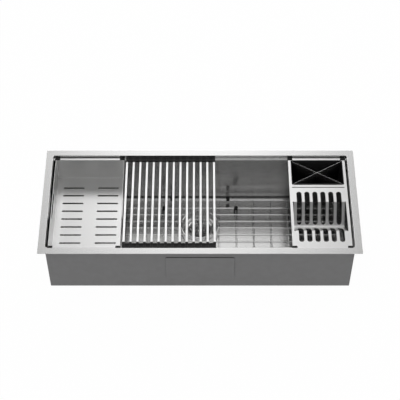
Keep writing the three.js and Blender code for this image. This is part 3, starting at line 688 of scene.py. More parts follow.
def punching_tree():
    """Punches columns and rows of round-ended slots through a sheet."""
    nodes, value = new_tree("punched_slots", {
        "Columns": "Int", "Rows": "Int", "Column Pitch": "Float", "Row Pitch": "Float",
        "Slot Length": "Float", "Slot Width": "Float", "Reach": "Float",
        "Centre": "Vector", "Turn": "Rotation", "Finish": "Material",
    })
    points = spread(nodes, value["Column Pitch"], value["Row Pitch"], value["Columns"], value["Rows"])
    copies = nodes.add("GeometryNodeInstanceOnPoints", {}, {
        "Points": points, "Instance": slot_cutter(nodes, value),
    })
    return punch(nodes, value, copies, Rotation=value["Turn"])


def spoke_punching_tree():
    """Punches slots that stand round an upright axis like spokes."""
    nodes, value = new_tree("punched_spokes", {
        "Count": "Int", "Radius": "Float", "Slot Length": "Float", "Slot Width": "Float",
        "Reach": "Float", "Centre": "Vector", "Finish": "Material",
    })
    index = nodes.add("GeometryNodeInputIndex")
    angle = index * (2 * math.pi) / value["Count"]
    place = nodes.add("ShaderNodeCombineXYZ", {}, {
        0: nodes.compute("COSINE", angle) * value["Radius"],
        1: nodes.compute("SINE", angle) * value["Radius"],
    })
    points = nodes.add("GeometryNodePoints", {}, {"Count": value["Count"], "Position": place})
    turn = nodes.add("ShaderNodeCombineXYZ", {}, {2: angle})
    copies = nodes.add("GeometryNodeInstanceOnPoints", {}, {
        "Points": points, "Instance": slot_cutter(nodes, value), "Rotation": turn,
    })
    return punch(nodes, value, copies)


def wire_tree():
    """Lays round wire along every edge of a piece."""
    nodes, value = new_tree("laid_wire", {
        "Wire Radius": "Float", "Wire Sides": "Int", "Finish": "Material",
    })
    line = nodes.add("GeometryNodeMeshToCurve", {}, {"Mesh": value["Geometry"]})
    section = nodes.add("GeometryNodeCurvePrimitiveCircle", {}, {
        "Resolution": value["Wire Sides"], "Radius": value["Wire Radius"],
    })
    wire = nodes.add("GeometryNodeCurveToMesh", {}, {
        "Curve": line, "Profile Curve": section, "Fill Caps": True,
    })
    return end_tree(nodes, wire, value["Finish"])


def bar_row_tree():
    """A row of level bars that lie front to rear, side by side."""
    nodes, value = new_tree("row_of_bars", {
        "Count": "Int", "Pitch": "Float", "Start": "Vector", "Bar Radius": "Float",
        "Bar Length": "Float", "Finish": "Material",
    })
    index = nodes.add("GeometryNodeInputIndex")
    place = nodes.add("ShaderNodeCombineXYZ", {}, {0: index * value["Pitch"]})
    points = nodes.add("GeometryNodePoints", {}, {"Count": value["Count"], "Position": place})
    bar = nodes.add("GeometryNodeMeshCylinder", {}, {
        "Vertices": 40, "Radius": value["Bar Radius"], "Depth": value["Bar Length"],
    })
    laid = nodes.add("GeometryNodeTransform", {}, {
        "Geometry": bar, "Rotation": (math.pi / 2, 0.0, 0.0),
    })
    copies = nodes.add("GeometryNodeInstanceOnPoints", {}, {"Points": points, "Instance": laid})
    shifted = nodes.add("GeometryNodeTransform", {}, {"Geometry": copies, "Translation": value["Start"]})
    return end_tree(nodes, shifted, value["Finish"])


PUNCHED_SLOTS = punching_tree()
PUNCHED_SPOKES = spoke_punching_tree()
LAID_WIRE = wire_tree()
ROW_OF_BARS = bar_row_tree()


# ---------- Bowl, flange and ledges ----------

def bowl_half_width(half_depth):
    """The ledges run only along the front and rear, so the side walls go straight down."""
    if half_depth >= OPENING_Y:
        return half_depth + OPENING_X - OPENING_Y
    if half_depth >= BOWL_Y:
        return OPENING_X - 0.3 * (OPENING_Y - half_depth) / (OPENING_Y - BOWL_Y)
    return half_depth + OPENING_X - 0.3 - BOWL_Y


def bowl_ring(half_depth, height, grow=0.0):
    inner = half_depth - grow
    corner = BOWL_CORNER + grow + min(0.0, inner - BOWL_Y) + max(0.0, inner - OPENING_Y)
    if inner > OPENING_Y + 12:
        corner = 2.5
    outline = rounded_rectangle(bowl_half_width(inner) + grow, half_depth, corner)
    return level_ring(outline, height)


def drain_ring(radius, height):
    count = 4 * (CORNER_STEPS + 1)
    return level_ring(circle(radius, count, 0.5), height, y=DRAIN_Y)


def make_bowl():
    inside = folded([
        (HALF_DEPTH, -SHEET, 0),
        (HALF_DEPTH, 0.0, 0.5),
        (OPENING_Y + RISER_LEAN, 0.0, 1.3),
        (OPENING_Y - 0.1, TREAD, 0.6),
        (BOWL_Y, TREAD, 1.6),
        (BOWL_Y, FLOOR, FLOOR_FOLD),
        (BOWL_Y - 40, FLOOR, 0),
    ], steps=7)
    well = folded([
        (RECESS_RADIUS + 6, FLOOR, 0),
        (RECESS_RADIUS + 1.2, FLOOR, 1.6),
        (RECESS_RADIUS - 1.0, RECESS_FLOOR, 1.2),
        (HOLE_RADIUS, RECESS_FLOOR, 0.3),
        (HOLE_RADIUS, RECESS_FLOOR - SHEET, 0.3),
        (RECESS_RADIUS + 0.2, RECESS_FLOOR - SHEET, 1.2),
        (RECESS_RADIUS + 2.4, FLOOR - SHEET, 1.2),
        (RECESS_RADIUS + 7, FLOOR - SHEET, 0),
    ])
    outside = folded([
        (BOWL_Y - 40, FLOOR - SHEET, 0),
        (BOWL_Y + SHEET, FLOOR - SHEET, FLOOR_FOLD + SHEET),
        (BOWL_Y + SHEET, TREAD - SHEET, 1.2),
        (OPENING_Y + SHEET, TREAD - SHEET, 1.4),
        (OPENING_Y + SHEET + RISER_LEAN, -SHEET, 1.0),
        (HALF_DEPTH, -SHEET, 0),
    ], steps=7)
    rings = [bowl_ring(*spot) for spot in inside[:-1]]
    rings += [drain_ring(*spot) for spot in well]
    rings += [bowl_ring(*spot, grow=SHEET) for spot in outside[1:-1]]
    fitted("sink_basin", shell(rings, joined_up=True), "sink", "sink_steel", "sink_bowl")


def make_insulation():
    """Panels fill the steps under the ledges. One sprayed coat covers them, the ends and the underside."""
    skin, lift = 0.2, 0.04
    top = TREAD - SHEET - SEAT
    close, out = SHEET + lift, SHEET + lift + skin
    inside = folded([
        (BOWL_Y + close, top, 0), (BOWL_Y + close, FLOOR - close, FLOOR_FOLD + SHEET),
        (BOWL_Y - 40, FLOOR - close, 0),
    ], steps=7)[:-1]
    outside = folded([(0.0, top, 0), (0.0, FLOOR - out, 1.4), (60.0, FLOOR - out, 0)], steps=7)[:-1]
    rings = [bowl_ring(*spot, grow=close) for spot in inside]
    rings += boss_rings(close)
    cover = boss_rings(out)[::-1]
    for inset, up in outside[::-1]:
        outline = rounded_rectangle(OPENING_X + out - inset, OPENING_Y + out - inset, max(2.2 - inset, 0.3))
        cover.append(level_ring(outline, up))
    fitted(
        "insulation_jacket", shell(rings + cover, joined_up=True),
        "sink", "insulation", "insulation_front", "insulation_rear",
    )


def boss_rings(thick):
    """The underside's rise round the drain, at a distance from the sheet's upper face."""
    return [drain_ring(*spot) for spot in folded([
        (RECESS_RADIUS + 7, FLOOR - thick, 0), (RECESS_RADIUS + 2.6, FLOOR - thick, 1.0),
        (RECESS_RADIUS + 0.6, RECESS_FLOOR - thick, 1.0), (58.4, RECESS_FLOOR - thick, 0),
    ])]


def make_sound_pads():
    half_long, half_high, corner, thick = 123.0, 64.0, 6.0, 3.0
    middle = -57.0 - half_high
    coat = FINISHES["sound_pad"]
    pad = slab(half_long, half_high, corner, 0.0, thick, edge=0.5, steps=8)
    stand = ((1, 0, 0), (0, 0, -1), (0, 1, 0))
    off_side, off_end = OPENING_Y + SHEET + SEAT, OPENING_X + SHEET + SEAT
    walls = {
        "front": (off_side, 0.0), "rear": (off_side, math.pi),
        "left": (off_end, -math.pi / 2), "right": (off_end, math.pi / 2),
    }
    for side, (distance, angle) in walls.items():
        upright = moved(pad, y=-distance, z=middle, turn=stand)
        round_bowl = np.array(Matrix.Rotation(angle, 3, "Z"))
        placed = piece(f"damping_pad_{side}", moved(upright, turn=round_bowl), coat)
        shade_pad_edges(placed, round_bowl @ np.array((0.0, -1.0, 0.0)))
        belongs(placed, "sink", "sound_pad", f"sound_pad_{side}")
    under = slab(160.0, half_long, corner, -thick, 0.0, edge=0.2, foot_edge=0.5, steps=8)
    for side, sign in LEFT_AND_RIGHT:
        placed = piece(
            f"damping_pad_bottom_{side}", moved(under, x=sign * 270.0, z=FLOOR - SHEET - SEAT), coat,
        )
        shade_pad_edges(placed, (0.0, 0.0, -1.0))
        belongs(placed, "sink", "sound_pad", f"sound_pad_bottom_{side}")


def shade_pad_edges(pad, facing):
    """The coat covers a pad's face, and its edges take a dark material: painted shade along the pad's
    outline.
    """
    pad.data.materials.append(PAD_EDGE_SHADE)
    for face in pad.data.polygons:
        if abs(face.normal.dot(Vector(facing))) < 0.55:
            face.material_index = 1


# ---------- Basket strainer and tailpiece ----------

def make_strainer():
    body = turned([
        (22.0, -308.7, 0.3), (22.0, -288.7, 1.5), (43.0, -288.7, 3.0), (43.0, -242.6, 0.5),
        (43.6, -240.7, 0.3), (57.0, -240.7, 0.3), (56.9, -240.2, 0.3),
        (50.6, -235.4, 1.0), (48.6, -235.4, 1.0), (45.4, -239.2, 1.0), (43.6, -239.9, 0.8),
        (41.4, -242.6, 1.6), (41.4, -287.1, 3.0), (20.6, -287.1, 1.2),
        (20.4, -308.7, 0.2),
    ], joined_up=True)
    fitted("strainer_cup", body, "sink", "strainer_steel", "strainer_body")

    steel = FINISHES["strainer_steel"]
    basket = piece("basket_shell", turned([
        (0.02, -270.6, 0), (23.4, -270.6, 1.6), (39.0, -247.6, 1.6), (39.0, -240.6, 0.5),
        (43.0, -240.6, 0.35), (43.0, -239.6, 0.4), (38.6, -239.6, 0.9), (38.0, -247.0, 1.4),
        (22.9, -269.6, 1.2), (0.02, -269.6, 0),
    ]), steel)
    apply_tree(
        basket, PUNCHED_SPOKES, count=12, radius=0.0205, slot_length=0.017, slot_width=0.0032,
        reach=0.018, centre=(0.0, DRAIN_Y * MM, -0.2690), finish=steel,
    )
    carve(basket, turned([
        (0.02, -275.0, 0), (3.8, -275.0, 0), (3.8, -262.0, 0), (0.02, -262.0, 0),
    ], sides=48))
    ease_edges(basket, 0.18)
    belongs(basket, "basket", "strainer_steel", "strainer_basket")

    post = turned([
        (0.02, -277.2, 0), (6.5, -277.2, 0.5), (6.5, -275.2, 0.4), (3.5, -275.2, 0.3),
        (3.5, -250.6, 0.8), (7.6, -249.9, 0.8), (8.5, -247.6, 0.9), (8.5, -244.9, 1.4),
        (6.0, -243.6, 1.2), (0.02, -243.6, 0),
    ])
    fitted("basket_knob", post, "basket_plunger", "strainer_steel", "basket_post")
    stopper = turned([
        (3.8, -274.9, 0.2), (24.5, -274.9, 0.8), (27.0, -273.6, 0.9), (27.0, -271.6, 0.6),
        (25.0, -270.9, 0.6), (3.8, -270.9, 0.2),
    ], joined_up=True)
    fitted("stopper_disc", stopper, "basket_plunger", "drain_rubber", "basket_stopper")


def flat_ring(inner, outer, low, high, edge):
    return turned([
        (outer, low, edge), (outer, high, edge), (inner, high, edge), (inner, low, edge),
    ], joined_up=True)


def lobed_nut(radius, lobes, rise, flat, low, high, bore, chamfer, sides=192):
    """A nut whose outline has lugs all round."""
    angles = np.arange(sides) * 2 * math.pi / sides
    wave = np.cos(angles * lobes)
    lift = np.clip((wave - flat) / 0.25, 0.0, 1.0)
    reach = radius + rise * lift * lift * (3 - 2 * lift)
    levels = [(reach - chamfer, low), (reach, low + chamfer), (reach, high - chamfer)]
    levels += [(reach - chamfer, high), (bore, high), (bore, low)]
    return shell([
        np.column_stack([out * np.cos(angles), out * np.sin(angles) + DRAIN_Y, np.full(sides, up)])
        for out, up in levels
    ], joined_up=True)


def make_drain_fittings():
    gasket = flat_ring(43.3, 57.0, -245.8, -242.8, 0.6)
    fitted("gasket_ring", gasket, "sink", "drain_rubber", "strainer_gasket")
    washer = flat_ring(43.3, 57.0, -247.1, -246.1, 0.15)
    fitted("slip_washer", washer, "sink", "washer_fibre", "friction_washer")
    locknut = lobed_nut(53.0, 8, 5.0, 0.72, -258.4, -247.4, 43.3, 0.7)
    fitted("clamp_nut", locknut, "sink", "drain_chrome", "locknut", smooth_to=30.0)
    seal = flat_ring(18.0, 22.0, -311.0, -309.0, 0.5)
    fitted("tail_washer", seal, "sink", "drain_rubber", "tailpiece_washer")
    tail = turned([
        (19.0, -416.3, 0.3), (19.0, -313.3, 0.8), (22.0, -313.3, 0.5), (22.0, -311.3, 0.5),
        (18.0, -311.3, 0.3), (18.0, -416.3, 0.3),
    ], joined_up=True)
    fitted("tail_tube", tail, "sink", "drain_chrome", "tailpiece")
    nut = lobed_nut(25.9, 8, 2.1, -0.2, -315.6, -299.6, 22.3, 1.0)
    floor_of_nut = flat_ring(19.3, 24.0, -315.6, -313.8, 0.3)
    fitted("tail_nut", together(nut, floor_of_nut), "sink", "drain_chrome", "slip_nut", smooth_to=30.0)


# ---------- Bottom grid ----------

def wires(name, lines, radius, sides, closed=False):
    """Round wire along lines of points, in the grid's own frame."""
    points, edges = [], []
    for line in lines:
        start = len(points)
        points += [(x * MM, (y + GRID_Y) * MM, (z + GRID_Z) * MM) for x, y, z in line]
        edges += [(start + i, start + i + 1) for i in range(len(line) - 1)]
        if closed:
            edges.append((len(points) - 1, start))
    mesh = bpy.data.meshes.new(name)
    mesh.from_pydata(points, edges, [])
    made = bpy.data.objects.new(name, mesh)
    scene.collection.objects.link(made)
    apply_tree(
        made, LAID_WIRE, wire_radius=radius * MM, wire_sides=sides, finish=FINISHES["grid_steel"],
    )
    belongs(made, "grid", "grid_steel", "bottom_grid")


def make_grid():
    drain = DRAIN_Y - GRID_Y
    frame_line = [(x, y, 0.0) for x, y in rounded_rectangle(GRID_HALF_X, GRID_HALF_Y, 26.0, 10)]
    ring_line = [(x, y + drain, 0.0) for x, y in circle(DRAIN_RING, 72)]
    long_lines, cross_lines = [], []
    for row in range(-LONG_EACH_SIDE, LONG_EACH_SIDE + 1):
        y = row * LONG_PITCH
        aside = abs(y - drain)
        if aside >= DRAIN_RING:
            long_lines.append([(-GRID_HALF_X, y, 0.0), (GRID_HALF_X, y, 0.0)])
        else:
            stop = math.sqrt(DRAIN_RING ** 2 - aside ** 2)
            long_lines += [
                [(sign * stop, y, 0.0), (sign * GRID_HALF_X, y, 0.0)] for sign in (-1, 1)
            ]
    for number in range(CROSS_EACH_SIDE):
        for sign in (-1, 1):
            x = sign * (FIRST_CROSS + CROSS_PITCH * number)
            cross_lines.append([(x, -GRID_HALF_Y, CROSS_Z), (x, GRID_HALF_Y, CROSS_Z)])
    wires("grid_frame_wire", [frame_line], FRAME_WIRE, 20, closed=True)
    wires("grid_drain_wire", [ring_line], GRID_WIRE, 16, closed=True)
    wires("grid_long_wires", long_lines, GRID_WIRE, 16)
    wires("grid_cross_wires", cross_lines, GRID_WIRE, 16)


def make_feet():
    gap = GRID_WIRE + SEAT
    cuts = block(16.0, gap, -gap, gap), block(gap, 16.0, CROSS_Z - gap, gap)
    places = [
        (row, side, number, sign_x * (FIRST_CROSS + CROSS_PITCH * number), sign_y * FOOT_Y + GRID_Y)
        for row, sign_y in FRONT_AND_REAR for number in FOOT_CROSS_WIRES for side, sign_x in LEFT_AND_RIGHT
    ]
    for row, side, number, x, y in places:
        foot = piece(f"foot_{row}_{side}_{number}", turned([
            (0.02, -22.7, 0), (6.4, -22.7, 1.2), (7.4, -14.0, 2.0), (7.4, 4.4, 1.2), (0.02, 4.4, 0),
        ], sides=40, x=x, y=y), FINISHES["grid_rubber"])
        foot.data.transform(Matrix.Translation((0, 0, GRID_Z * MM)))
        for cut in cuts:
            carve(foot, moved(cut, x, y, GRID_Z))
        ease_edges(foot, 0.4)
        belongs(foot, "grid", "grid_rubber", f"grid_foot_{row}_{side}_{number}")


def make_bumpers():
    sleeve = turned([
        (3.3, -6.5, 0.2), (4.6, -6.5, 0.8), (4.6, 6.5, 0.8), (3.3, 6.5, 0.2),
    ], sides=40, y=0.0, joined_up=True)
    nose = slab(6.5, 4.6, 1.6, -4.0, 4.0, edge=1.2, foot_edge=1.2)
    for row, outwards in FRONT_AND_REAR:
        y = outwards * GRID_HALF_Y + GRID_Y
        for side, sign in LEFT_AND_RIGHT:
            fitted(f"bumper_{row}_{side}", together(
                moved(sleeve, sign * BUMPER_X, y, GRID_Z, turn=TURN_LENGTHWISE),
                moved(nose, sign * BUMPER_X, y + outwards * 8.2, GRID_Z),
            ), "grid", "grid_rubber", f"grid_bumper_{row}_{side}")


# ---------- Corner caps ----------

def make_caps(label, body, left, right):
    """Silicone caps clipped over the corners of a rim."""
    half_x, skin = 9.0, 1.2
    cutter_x, cutter_y = 12.0, 8.0
    reach = RIM_Y + CAP_OVERHANG - HANG_Y + 0.8
    under, over = RIM - RIM_SHEET - SEAT, RIM + SEAT
    low, high = under - 1.3, over + 1.6
    slit = block(cutter_x, cutter_y, under, over)
    wall = block(cutter_x, cutter_y, low - 2.0, over)
    for row, side_y in FRONT_AND_REAR:
        for side, side_x in LEFT_AND_RIGHT:
            outer_x = (left if side_x < 0 else right) + side_x * CAP_OVERHANG
            outer_y = side_y * (RIM_Y + CAP_OVERHANG)
            x, y = outer_x - side_x * half_x, outer_y - side_y * reach / 2
            cap = piece(f"{label}_corner_{row}_{side}", moved(
                slab(half_x, reach / 2, 2.0, low, high, edge=0.75, foot_edge=0.5), x, y,
            ), FINISHES["cap_silicone"])
            carve(cap, moved(
                slit, outer_x - side_x * (skin + cutter_x), outer_y - side_y * (skin + cutter_y),
            ))
            carve(cap, moved(wall, x, side_y * (HANG_Y + SEAT - cutter_y)))
            belongs(cap, body, "cap_silicone", f"{label}_cap_{row}_{side}")


# ---------- Colander ----------

def make_colander():
    """A deep tub whose front and rear walls fold out into rims and whose side walls end in a bare edge."""
    middle = (COLANDER_LEFT + COLANDER_RIGHT) / 2
    half_x = (COLANDER_RIGHT - COLANDER_LEFT) / 2 - CAP_NOTCH
    hollow_x, hollow_y, rim_y = half_x - RIM_SHEET, HANG_Y - RIM_SHEET, RIM_Y - CAP_NOTCH
    inner_corner, outer_corner = 1.8, 3.0
    toward_rim = np.sin((np.arange(4 * (CORNER_STEPS + 1)) // (CORNER_STEPS + 1)
                         + np.tile(np.arange(CORNER_STEPS + 1) / CORNER_STEPS, 4)) * math.pi / 2) ** 2

    def tub_ring(wide, deep, corner, side_up, rim_up):
        ring = level_ring(rounded_rectangle(wide, deep, corner), side_up, x=middle)
        ring[:, 2] += (rim_up - side_up) * toward_rim
        return ring

    floor = COLANDER_FLOOR
    inside = folded([(60.0, floor, 0), (0.0, floor, 1.2), (0.0, RIM - 4.0, 0)], steps=5)[1:]
    outside = folded([
        (0.0, RIM - 4.0, 0), (0.0, floor - RIM_SHEET, 2.4), (60.0, floor - RIM_SHEET, 0),
    ], steps=5)[:-1]
    rings = [
        tub_ring(hollow_x - inset, hollow_y - inset, inner_corner - inset, up, up) for inset, up in inside
    ]
    fold = 1.8
    for step in range(5):
        turn = step * math.pi / 8
        rings.append(tub_ring(
            hollow_x, hollow_y + fold * (1 - math.cos(turn)), inner_corner,
            RIM - 2.7 + 0.6 * step, RIM - fold + fold * math.sin(turn),
        ))
    rings += [tub_ring(*spot) for spot in (
        (hollow_x + 0.3, hollow_y + 3.0, inner_corner, RIM, RIM),
        (half_x - 0.3, rim_y - 0.3, 2.2, RIM, RIM),
        (half_x, rim_y, 2.5, RIM - 0.3, RIM - 0.3),
        (half_x, rim_y, 2.5, RIM - 0.9, RIM - 0.9),
        (half_x, rim_y - 0.3, 2.5, RIM - 1.3, RIM - 1.2),
        (half_x, HANG_Y + 1.2, outer_corner, RIM - 2.6, RIM - 1.2),
        (half_x, HANG_Y + 0.3, outer_corner, RIM - 3.1, RIM - 1.6),
    )]
    rings += [
        tub_ring(half_x - inset, HANG_Y - inset, outer_corner - inset, up, up) for inset, up in outside
    ]
    steel = FINISHES["accessory_steel"]
    tub = piece("colander_tub", shell(rings), steel)
    apply_tree(
        tub, PUNCHED_SLOTS, columns=2, rows=9, column_pitch=0.1292, row_pitch=0.0363,
        slot_length=0.078, slot_width=0.0066, reach=0.01, centre=(middle * MM, 0.0, floor * MM),
        finish=steel,
    )
    apply_tree(
        tub, PUNCHED_SLOTS, columns=1, rows=1, slot_length=0.112, slot_width=0.030, reach=0.27,
        centre=(middle * MM, 0.0, (RIM - 25.0) * MM), turn=(math.pi / 2, 0.0, math.pi / 2),
        finish=steel,
    )
    ease_edges(tub, 0.25)
    belongs(tub, "colander_unit", "accessory_steel", "colander")
    make_caps("colander", "colander_unit", COLANDER_LEFT, COLANDER_RIGHT)


# ---------- Roll-up rack ----------

def bar_x(number):
    return FIRST_BAR + (number - 1) * BAR_PITCH


def strip_outline(first, last, round_start, round_end):
    """The side view of a strip: sleeves round the bars, joined by a web, in X and height."""
    start, end = bar_x(first), bar_x(last)
    start -= SLEEVE if round_start else BAR_PITCH / 2 - WEB_HALF_LONG
    end += SLEEVE if round_end else BAR_PITCH / 2 - WEB_HALF_LONG
    count = int((end - start) / 0.62)
    turn = (1 - np.cos(np.linspace(0, math.pi, 9)[:5])) * SLEEVE * 0.5
    spots = np.linspace(start, end, count)
    if round_start:
        spots = np.concatenate([start + turn[:-1] * 0.6, spots[spots > start + turn[-1] * 0.6]])
    if round_end:
        spots = np.concatenate([spots[spots < end - turn[-1] * 0.6], end - turn[:-1][::-1] * 0.6])
    nearest = FIRST_BAR + np.clip(np.round((spots - FIRST_BAR) / BAR_PITCH), first - 1, last - 1) * BAR_PITCH
    bulge = np.sqrt(np.maximum(SLEEVE ** 2 - (spots - nearest) ** 2, 0.0))
    web = np.full(len(spots), WEB_HALF_THICK)
    if round_start:
        web = np.where(spots < bar_x(first), 0.0, web)
    if round_end:
        web = np.where(spots > bar_x(last), 0.0, web)
    fillet = 1.3
    blend = np.maximum(1.0 - np.abs(bulge - web) / fillet, 0.0)
    half = np.maximum(bulge, web) + blend * blend * fillet / 4
    half = np.minimum(np.maximum(half, 0.03), SLEEVE)
    top = np.column_stack([spots, half])
    foot = np.column_stack([spots[::-1], -half[::-1]])
    return np.concatenate([foot, top])


def shrunk(outline, inset):
    """An outline drawn in along its own normals."""
    along = np.roll(outline, -1, 0) - np.roll(outline, 1, 0)
    normal = np.column_stack([-along[:, 1], along[:, 0]])
    normal /= np.maximum(np.linalg.norm(normal, axis=1), 1e-9)[:, None]
    return outline + normal * inset


def strip_shell(outline, side):
    """A strip's side view drawn out along the ledge, with a shallow channel between its two lips."""
    inner, outer = STRIP_INNER, RIM_Y
    stations = [
        (inner + 4.0, 0.7), (inner + 4.2, 0.25), (inner + 4.7, 0.0), (inner + 9.4, 0.0),
        (inner + 10.2, 0.45), (outer - 8.6, 0.45), (outer - 7.8, 0.0), (outer - 0.7, 0.0),
        (outer - 0.2, 0.25), (outer, 0.7),
    ]
    orientation = 1.0 if np.sum(
        outline[:, 0] * np.roll(outline[:, 1], -1) - np.roll(outline[:, 0], -1) * outline[:, 1]
    ) > 0 else -1.0
    cut_end = np.minimum(np.abs(outline[:, 0] - WEB_START), np.abs(outline[:, 0] - WEB_END)) < 0.05
    rings = []
    for y, inset in stations:
        drawn = shrunk(outline, inset * orientation)
        drawn[cut_end, 0] = outline[cut_end, 0]
        drawn[:, 1] = np.clip(drawn[:, 1], -SLEEVE, SLEEVE)
        rings.append(np.column_stack([
            drawn[:, 0], np.full(len(drawn), side * y), drawn[:, 1] + BAR_HEIGHT,
        ]))
    return shell(rings)


def sleeve_collars(first, last, side):
    """The sleeves' mouths, which stand a little proud of the web."""
    collar = turned([
        (4.05, 0.0, 0.2), (SLEEVE, 0.0, 0.45), (SLEEVE, 5.2, 0.2), (4.05, 5.2, 0.2),
    ], sides=36, y=0.0, joined_up=True, steps=3, hold=0.2)
    turn = ((1, 0, 0), (0, 0, side), (0, -side, 0))
    return [
        moved(collar, bar_x(number), side * STRIP_INNER, BAR_HEIGHT, turn=turn)
        for number in range(first, last + 1)
    ]


def make_rollup():
    halves = (("left", 1, BARS_ON_LEFT), ("right", BARS_ON_LEFT + 1, BAR_COUNT))
    for half, first, last in halves:
        body = f"rollup_{half}"
        steel = FINISHES["rollup_steel"]
        seed = piece(f"rollup_bars_{half}", slab(1, 1, 0.2, 0, 1, steps=1), steel)
        apply_tree(
            seed, ROW_OF_BARS, smooth_to=50.0, count=last - first + 1, pitch=BAR_PITCH * MM,
            start=(bar_x(first) * MM, 0.0, BAR_HEIGHT * MM),
            bar_radius=0.004, bar_length=2 * (RIM_Y - 3.0) * MM, finish=steel,
        )
        nodes = [f"rollup_bar_{number:02d}" for number in range(first, last + 1)]
        belongs(seed, body, "rollup_steel", *nodes)
        outline = strip_outline(first, last, half == "left", half == "right")
        for row, side in FRONT_AND_REAR:
            surface = together(strip_shell(outline, side), *sleeve_collars(first, last, side))
            fitted(f"rollup_strip_{row}_{half}", surface, body, "rollup_silicone", f"rollup_strip_{row}")
    make_fold_webs()


def make_fold_webs():
    """The web in the middle of each strip, where the rack folds, made as a plain piece of its own."""
    spots = np.linspace(WEB_START, WEB_END, 25)
    half = np.full(len(spots), WEB_HALF_THICK)
    outline = np.concatenate([
        np.column_stack([spots[::-1], -half]), np.column_stack([spots, half]),
    ])
    for row, side in FRONT_AND_REAR:
        web = piece(f"rollup_fold_web_{row}", strip_shell(outline, side), FINISHES["rollup_silicone"])
        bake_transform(web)


# ---------- Plate rack ----------

RAIL_LEFT, RAIL_RIGHT = 336.8, 528.8
GAP_FRONT, GAP_REAR = 65.8, 69.2
BOX_FRONT, BOX_REAR = 81.0, 193.6


def rack_profile():
    """The rack's folded line from front to rear, as distance and height, with a V-shaped trough."""
    return folded([
        (-RIM_Y + CAP_NOTCH, 0.0, 0), (-129.0, 0.0, 2.6), (-64.5, -64.5, 9.0), (0.0, 0.0, 2.6),
        (GAP_FRONT, 0.0, 0),
    ], steps=6, hold=0.5)


def make_plate_rack():
    left, right = RACK_LEFT + CAP_NOTCH, RACK_RIGHT - CAP_NOTCH
    rail, slit = RAIL_LEFT - left, 4.0
    lip = folded([(left, -12.0, 0), (left, 0.0, 1.8), (left + rail, 0.0, 0)], steps=5, hold=0.4)
    columns = [(x, z) for x, z in lip]
    lip_columns = len(columns)
    columns += [(RAIL_LEFT + slit, 0.0), (RAIL_RIGHT - slit, 0.0)]
    columns += [(left + right - x, z) for x, z in reversed(lip)]
    rows = [(y, z) for y, z in rack_profile()]
    rows += [(y, 0.0) for y in (GAP_REAR, BOX_FRONT, BOX_REAR, HANG_Y, RIM_Y - CAP_NOTCH)]
    rows.insert(1, (-HANG_Y, 0.0))

    work = bmesh.new()
    made = {}

    def corner(column, row):
        (x, drop), (y, fall) = columns[column], rows[row]
        middle = lip_columns <= column <= lip_columns + 1
        depth = fall if middle else 0.0
        key = (column, row)
        if key not in made:
            made[key] = work.verts.new((x * MM, y * MM, (RIM + depth + drop) * MM))
        return made[key]

    for row in range(len(rows) - 1):
        front, rear = rows[row][0], rows[row + 1][0]
        in_trough = front >= -131.0 and rear <= 2.0
        for column in range(len(columns) - 1):
            on_lip = columns[column][1] < 0 or columns[column + 1][1] < 0
            between_rails = lip_columns - 1 <= column <= lip_columns + 1
            beside_trough = column in (lip_columns - 1, lip_columns + 1)
            if on_lip and (front < -HANG_Y or rear > HANG_Y):
                continue
            if beside_trough and in_trough:
                continue
            if between_rails and (GAP_FRONT <= front < GAP_REAR or BOX_FRONT <= front < BOX_REAR):
                continue
            work.faces.new((
                corner(column, row), corner(column + 1, row),
                corner(column + 1, row + 1), corner(column, row + 1),
            ))
    mesh = bpy.data.meshes.new("rack_sheet")
    work.to_mesh(mesh)
    work.free()
    steel = FINISHES["accessory_steel"]
    mesh.materials.append(steel)
    rack = bpy.data.objects.new("rack_sheet", mesh)
    scene.collection.objects.link(rack)
    wall = rack.modifiers.new("sheet", "SOLIDIFY")
    wall.thickness = RIM_SHEET * MM
    wall.offset = -1.0
    wall.use_even_offset = True
    settle(rack)
    for middle, length in ((-6.0, 106.0), (-131.5, 93.0)):
        apply_tree(
            rack, PUNCHED_SLOTS, columns=1, rows=6, row_pitch=0.0289, slot_length=length * MM,
            slot_width=0.0184, reach=0.2, centre=(RACK_MIDDLE * MM, middle * MM, -0.04),
            turn=(0.0, 0.0, math.pi / 2), finish=steel,
        )
    ease_edges(rack, 0.3)
    belongs(rack, "rack_unit", "accessory_steel", "plate_rack")
    make_caps("plate_rack", "rack_unit", RACK_LEFT, RACK_RIGHT)


# ---------- Utensil box ----------

def make_utensil_box():
    half_x, half_y = 95.7, 56.0
    y, top = 137.3, -7.2
    floor = top - 112.0
    wall = 1.8
    path = folded([
        (40.0, floor, 0), (wall, floor, 4.0), (wall, top, 0.7), (0.0, top, 0.7),
        (0.0, floor - wall, 5.5), (40.0, floor - wall, 0),
    ], steps=5, hold=0.3)[1:-1]
    rings = []
    for inset, up in path:
        outline = rounded_rectangle(half_x - inset, half_y - inset, max(6.8 - inset, 0.4))
        rings.append(level_ring(outline, up, RACK_MIDDLE, y))
    lips = [
        moved(
            slab(half_x - 6.0, 1.6, 0.8, top - 1.4, top, edge=0.4, foot_edge=0.3),
            RACK_MIDDLE, y + sign * half_y,
        )
        for sign in (-1, 1)
    ]
    fitted("utensil_tub", together(shell(rings), *lips), "utensil_unit", "utensil_plastic", "utensil_box")
    make_divider(math.atan2(half_y, half_x), y, floor, top)


